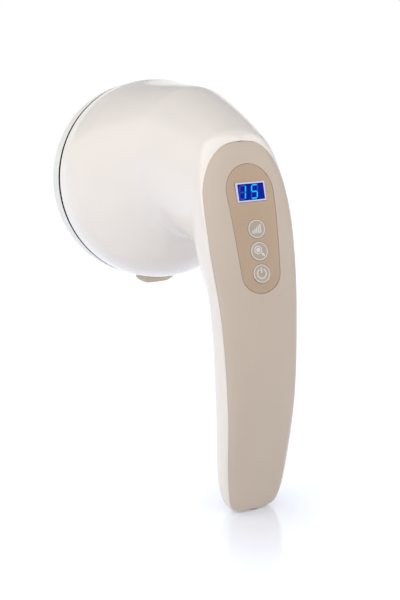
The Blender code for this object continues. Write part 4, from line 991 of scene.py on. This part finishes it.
def build_keys():
    for index, key in enumerate(KEYS):
        place = key_place(index)
        top = place.z + KEY_PROUD
        seat = top - KEY_THICKNESS
        end = seat - STEM_LENGTH
        matrix = PANEL @ Matrix.Translation((place.x, place.y, 0))
        rim = KEY_RIM_ROUND
        profile = [(0, top - KEY_DISH), (KEY_RADIUS * KEY_DISH_SHARE, top - KEY_DISH_RIM)]
        profile += reversed(arc((KEY_RADIUS - rim, top - rim), rim, 0, 90, 6))
        profile += [(KEY_RADIUS, seat), (STEM_RADIUS, seat), (STEM_RADIUS, end), (0, end)]
        cap = add_object(f"{key}_cap", turned_mesh(f"{key}_cap", matrix, profile, 96, closed=False), KEY)
        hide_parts(f"{key}_key")
        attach(cap, key)
        prints = key_print(key, matrix, top - PRINT_DEPTH, top + PRINT_PROUD)
        printed = add_object(f"{key}_print", joined(f"{key}_print", prints), PRINT)
        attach(printed, key)


# Guard ring, seal and button

def squared_circle(half_width, half_height, squareness, sides):
    turns = np.linspace(0, 2 * pi, sides, endpoint=False)
    return np.stack([half * np.abs(wave) ** (2 / squareness) * np.sign(wave)
                     for half, wave in ((half_width, np.cos(turns)), (half_height, np.sin(turns)))], axis=-1)


RING_RADIUS = sqrt(BALL_RADIUS ** 2 - SEAM_PLANE ** 2)
RING_BACK = SEAM_PLANE + SEAM_WIDTH
# The ring's back edge moves forward by the gasket's painted-shade widening
RING_EDGE = RING_BACK + SEAM_PAINTED_SHADE_WIDTH
RING_INNER = RING_RADIUS - RING_WALL
BUTTON_AXIAL = (RING_BACK + RING_FRONT) / 2 - RING_LIP / 6
BUTTON_PLACE = HEAD @ Matrix.Translation((0, 0, BUTTON_AXIAL)) @ Matrix.Rotation(pi / 2, 4, "X")


def build_ring():
    lip_centre = (RING_RADIUS - RING_TAPER - RING_LIP, RING_FRONT - RING_LIP - BOX_MARGIN)
    inner = RING_LIP / 4
    seat = BULKHEAD_FRONT + RING_SEAT_GAP
    profile = [(RING_RADIUS - RING_BACK_ROUND, RING_EDGE),
               (RING_RADIUS - RING_BACK_INSET, RING_EDGE + RING_BACK_ROUND)]
    profile += arc(lip_centre, RING_LIP, 0, 90, 12)
    profile += arc((RING_INNER + inner, RING_FRONT - inner), inner, 90, 180, 6)
    profile += [(RING_INNER, seat), (RING_INNER + RING_STEP, seat), (RING_INNER + RING_STEP, RING_EDGE)]
    ring = add_object("rim_ring", turned_mesh("rim_ring", HEAD, profile, 256), RING_WHITE)
    hole = squared_circle(BUTTON_HALF_WIDTH + BUTTON_GAP, BUTTON_HALF_DEPTH + BUTTON_GAP,
                          BUTTON_SQUARENESS, 96)
    cut(ring, outline_solid("hole", BUTTON_PLACE, hole, RING_INNER / 2, RING_RADIUS + OVERRUN / 2))
    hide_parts("guard_ring")
    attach(ring, "housing")


def build_seal():
    outer = RING_RADIUS - SEAL_INSET
    inner = outer - SEAL_DEPTH
    # The gasket reaches the ring's moved edge, so part of its dark width is painted shade in the seam
    back, front = SEAM_PLANE + SEAL_GAP, RING_EDGE - SEAL_GAP
    profile = [(inner, back), (outer - SEAL_ROUND, back), (outer, (back + front) / 2),
               (outer - SEAL_ROUND, front), (inner, front)]
    seal = add_object("gasket", turned_mesh("gasket", HEAD, profile, 256), SEAL)
    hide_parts("seam_seal")
    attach(seal, "housing")


def button_dome(foot):
    """The oval button from its flange at foot up to its domed top."""
    width_loss, depth_loss = BUTTON_TAPER_SHARES
    layers = [(foot, 1.0, 1.0), (RING_RADIUS - BUTTON_FOOT_DEPTH, 1.0, 1.0)]
    for height in np.linspace(0, 1, 15):
        fall = height ** BUTTON_FALL_POWER
        layers.append((RING_RADIUS + BUTTON_PROUD * height, 1 - width_loss * fall, 1 - depth_loss * fall))
    grid = []
    for height, width, depth in layers:
        oval = squared_circle(BUTTON_HALF_WIDTH * width, BUTTON_HALF_DEPTH * depth, BUTTON_SQUARENESS, 96)
        grid.append([(x, y, height) for x, y in oval])
    last = np.array(grid[-1])
    for share, rise in zip(BUTTON_CAP_SHARES, BUTTON_CAP_RISES):
        grid.append(last * (share, share, 1) + (0, 0, rise))
    mesh = grid_mesh("oval_button", np.array(grid), around=True, caps=(True, True))
    mesh.transform(BUTTON_PLACE)
    return mesh


def build_button():
    outer = FLANGE_PLAY - sqrt(RING_INNER ** 2 - FLANGE_HALF_WIDTH ** 2)
    inner = outer + ARM_THICKNESS
    middle = -outer - FLANGE_THICKNESS / 2
    flange = block_mesh(BUTTON_PLACE, (2 * FLANGE_HALF_WIDTH, 2 * FLANGE_HALF_DEPTH, FLANGE_THICKNESS),
                        (0, 0, middle), LATCH_EDGE_ROUND)
    arm = block_mesh(HEAD, (2 * ARM_HALF_WIDTH, ARM_THICKNESS, BUTTON_AXIAL + ARM_REACH),
                     (0, (outer + inner) / 2, (BUTTON_AXIAL - ARM_REACH) / 2), LATCH_EDGE_ROUND)
    hook_depth = HOOK_BITE + ARM_THICKNESS
    hook = block_mesh(HEAD, (2 * ARM_HALF_WIDTH, hook_depth, HOOK_THICKNESS),
                      (0, inner - hook_depth / 2, HOOK_TOP - HOOK_THICKNESS / 2), LATCH_EDGE_ROUND)
    mesh = joined("oval_button", [button_dome(middle), flange, arm, hook])
    button = add_object("oval_button", mesh, BUTTON_BEIGE, sharp=40)
    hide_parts("release_button")
    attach(button, "release")


def build_spring():
    """The button's coil spring, fixed to the housing at its rest length; the button shortens the real one.
    """
    count = SPRING_TURNS * 24
    rise = SPRING_LENGTH - 2 * SPRING_WIRE_RADIUS
    grid = []
    for index in range(count + 1):
        turn = 2 * pi * SPRING_TURNS * index / count
        out = Vector((cos(turn), 0, sin(turn)))
        centre = out * SPRING_RADIUS + Vector((0, SPRING_WIRE_RADIUS + rise * index / count, 0))
        grid.append([centre + (out * cos(angle) + Vector((0, sin(angle), 0))) * SPRING_WIRE_RADIUS
                     for angle in np.linspace(0, 2 * pi, 10, endpoint=False)])
    place = HEAD @ Matrix.Translation(SPRING_PLACE)
    mesh = grid_mesh("button_spring", np.array(grid), around=True, caps=(True, True))
    mesh.transform(place)
    spring = add_object("button_spring", mesh, GROUND_STEEL, sharp=60)
    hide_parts("release_spring")
    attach(spring, "housing")
    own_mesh(spring)


# Massage head

def roller_matrix(index):
    """A roller's frame, its Z axis along its pin."""
    turn = 2 * pi * index / ROLLER_COUNT
    place = Matrix.Translation((ROLLER_CIRCLE * cos(turn), ROLLER_CIRCLE * sin(turn), ROLLER_HEIGHT))
    return HEAD @ place @ Matrix.Rotation(turn, 4, "Z") @ Matrix.Rotation(pi / 2, 4, "Y")


def sphere_mesh(matrix, radius, segments, rings):
    bm = bmesh.new()
    bmesh.ops.create_uvsphere(bm, u_segments=segments, v_segments=rings, radius=radius, matrix=matrix)
    return mesh_of(bm, "sphere")


def build_disc():
    """The turning plate, with its hub behind and pockets for the balls and their pins."""
    flat = DISC_RADIUS - DISC_EDGE_ROUND
    profile = [(share * flat, DISC_CROWN - (DISC_CROWN - DISC_EDGE_FRONT) * share ** DISC_FALL_POWER)
               for share in np.linspace(0, 0.9, 10)]
    profile += reversed(arc((flat, DISC_EDGE_FRONT - DISC_EDGE_ROUND), DISC_EDGE_ROUND, 0, 90, 8))
    profile += [(DISC_RADIUS, DISC_BACK), (HUB_RADIUS, DISC_BACK), (HUB_RADIUS, HUB_BACK),
                (HUB_BORE_RADIUS, HUB_BACK), (HUB_BORE_RADIUS, ROLLER_HEIGHT), (0.0, ROLLER_HEIGHT)]
    mesh = turned_mesh("roller_plate", HEAD, profile, 192, closed=False)
    disc = add_object("roller_plate", mesh, HEAD_PLASTIC)
    tools = []
    reach = ROLLER_RADIUS + PIN_OVERHANG
    for index in range(ROLLER_COUNT):
        tools.append(sphere_mesh(roller_matrix(index), ROLLER_RADIUS + ROLLER_POCKET_GAP, 64, 32))
        tools.append(cylinder_mesh(roller_matrix(index), PIN_RADIUS + PIN_GAP, -reach, reach, 32))
    cut(disc, *tools)
    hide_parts("massage_disc")
    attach(disc, "head")


def build_balls():
    """The six rolling balls, each with a bore for its pin."""
    start = np.degrees(np.arcsin((PIN_RADIUS + PIN_GAP) / ROLLER_RADIUS))
    profile = [(ROLLER_RADIUS * sin(radians(angle)), ROLLER_RADIUS * cos(radians(angle)))
               for angle in np.linspace(start, 180 - start, 33)]
    for index in range(ROLLER_COUNT):
        name = f"massage_ball_{index + 1}"
        ball = add_object(name, turned_mesh(name, roller_matrix(index), profile, 64), STEEL)
        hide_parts(f"roller_{index + 1}")
        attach(ball, f"roller_body_{index + 1}")


# Materials of the CAD nodes that stay

CARRIED = (
    (DARK, ("display_module", "intensity_switch", "mode_switch", "power_switch", "battery_tray",
            "charge_socket")),
    (BOARD, ("control_board", "charge_board")),
    (NYLON, ("front_bulkhead", "spindle_gear", "motor_pinion")),
    (FILM, ("battery_cell_1", "battery_cell_2")),
    (GROUND_STEEL, ("front_bearing", "rear_bearing", "motor", "motor_shaft", "drive_spindle",
                    *(f"roller_pin_{index}" for index in range(1, 7)))),
    (ZINC, ("motor_bracket", "spindle_clip", *(f"bulkhead_screw_{index}" for index in range(1, 5)),
            *(f"bracket_screw_{index}" for index in range(1, 5)))),
)


def dress_carried():
    for material, names in CARRIED:
        for name in names:
            for piece_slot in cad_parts[name].material_slots:
                piece_slot.material = material


# Floor, light and camera

def seen_directly(nodes, links):
    """1 for what the camera sees, straight or by a reflection or glass, 0 for the light on the object."""
    path = nodes.new("ShaderNodeLightPath")
    total = path.outputs["Is Camera Ray"]
    for name in ("Is Glossy Ray", "Is Transmission Ray"):
        total = calculated(nodes, links, "MAXIMUM", total, path.outputs[name])
    return total


def stage_plane(name, matrix, half_width, half_height, colour, roughness, own_light=None):
    """A plane of the studio. own_light is the light it gives at the spot and away from it."""
    bm = bmesh.new()
    bmesh.ops.create_grid(bm, x_segments=1, y_segments=1, size=1.0)
    bm.transform(matrix @ Matrix.Diagonal((half_width, half_height, 1, 1)))
    mesh = mesh_of(bm, name)
    material = bpy.data.materials.new(name)
    material.use_nodes = True
    nodes, links = material.node_tree.nodes, material.node_tree.links
    shader = nodes["Principled BSDF"]
    fill(shader, {"Base Color": (*colour, 1), "Roughness": roughness})
    if own_light:
        shader.inputs["Emission Color"].default_value = FLOOR_OWN_COLOUR
        place = nodes.new("ShaderNodeTexCoord").outputs["Object"]
        away = nodes.new("ShaderNodeVectorMath")
        away.operation = "DISTANCE"
        links.new(place, away.inputs[0])
        away.inputs[1].default_value = FLOOR_LIGHT_SPOT
        light = scaled(nodes, links, away.outputs["Value"], *own_light, FLOOR_LIGHT_REACH)
        light = calculated(nodes, links, "MULTIPLY", light, seen_directly(nodes, links))
        links.new(light, shader.inputs["Emission Strength"])
    mesh.materials.append(material)
    plane = bpy.data.objects.new(name, mesh)
    bpy.context.scene.collection.objects.link(plane)
    return plane


def build_floor():
    floor = stage_plane("floor", Matrix.Identity(4), FLOOR_HALF_SIZE, FLOOR_HALF_SIZE, FLOOR_COLOUR,
                        FLOOR_ROUGHNESS, FLOOR_OWN_LIGHT)
    shader = floor.data.materials[0].node_tree.nodes["Principled BSDF"]
    shader.inputs["IOR"].default_value = FLOOR_IOR


def level_axes():
    """The level directions to the camera and to its right."""
    return Vector((sin(YAW), cos(YAW), 0)), Vector((-cos(YAW), sin(YAW), 0))


def view_axes():
    """The camera's right, up and backward directions."""
    level, right = level_axes()
    out = level * cos(PITCH) + Vector((0, 0, 1)) * sin(PITCH)
    up = level * -sin(PITCH) + Vector((0, 0, 1)) * cos(PITCH)
    return right, up, out


def build_camera():
    right, up, out = view_axes()
    width, height = PICTURE_SIZE
    across = (BALL_PIXEL[0] - width / 2) / PIXELS_PER_METRE
    above = (height / 2 - BALL_PIXEL[1]) / PIXELS_PER_METRE
    distance = FOCAL_PIXELS / PIXELS_PER_METRE
    data = bpy.data.cameras.new("camera")
    data.sensor_fit = "AUTO"
    data.sensor_width = 36.0
    data.lens = FOCAL_PIXELS * data.sensor_width / height
    data.clip_start = 0.05
    camera = bpy.data.objects.new("camera", data)
    place = BALL_CENTRE - right * across - up * above + out * distance
    turn = Matrix((right, up, out)).transposed().to_4x4()
    camera.matrix_world = Matrix.Translation(place) @ turn
    bpy.context.scene.collection.objects.link(camera)
    bpy.context.scene.camera = camera


def softbox(name, direction, distance, size, radiance, in_reflections):
    """A soft panel of this radiance, in this direction from the object: right, up and out in the picture."""
    right, up, out = view_axes()
    toward = (right * direction[0] + up * direction[1] + out * direction[2]).normalized()
    data = bpy.data.lights.new(name, "AREA")
    data.shape = "RECTANGLE"
    data.size, data.size_y = size
    data.energy = radiance * pi * size[0] * size[1]
    lamp = bpy.data.objects.new(name, data)
    lamp.location = LIGHT_CENTRE + toward * distance
    lamp.rotation_mode = "QUATERNION"
    lamp.rotation_quaternion = (LIGHT_CENTRE - lamp.location).to_track_quat("-Z", "Y")
    lamp.visible_glossy = in_reflections
    bpy.context.scene.collection.objects.link(lamp)


def build_world():
    """White to the camera, and a weaker light on the object."""
    world = bpy.data.worlds.new("studio")
    bpy.context.scene.world = world
    world.use_nodes = True
    nodes, links = world.node_tree.nodes, world.node_tree.links
    background = nodes["Background"]
    background.inputs["Color"].default_value = (1, 1, 1, 1)
    seen = seen_directly(nodes, links)
    links.new(scaled(nodes, links, seen, WORLD_LIGHT, 1.0), background.inputs["Strength"])


def build_card():
    level, right = level_axes()
    place = BALL_CENTRE - level * CARD_PLACE[0] + Vector((0, 0, CARD_PLACE[1]))
    up = Vector((0, 0, 1)) * cos(CARD_LEAN) + level * sin(CARD_LEAN)
    turn = Matrix((right, up, right.cross(up))).transposed().to_4x4()
    card = stage_plane("grey_card", Matrix.Translation(place) @ turn, *CARD_HALF_SIZE, CARD_COLOUR,
                       CARD_ROUGHNESS)
    card.visible_camera = card.visible_shadow = card.visible_diffuse = False


build_camera()
build_body()
build_cover()
build_inlay()
build_display()
build_keys()
build_ring()
build_seal()
build_button()
build_spring()
build_disc()
build_balls()
dress_carried()
build_floor()
for softbox_values in SOFTBOXES:
    softbox(*softbox_values)
build_world()
build_card()
bpy.context.scene.view_settings.view_transform = "Standard"
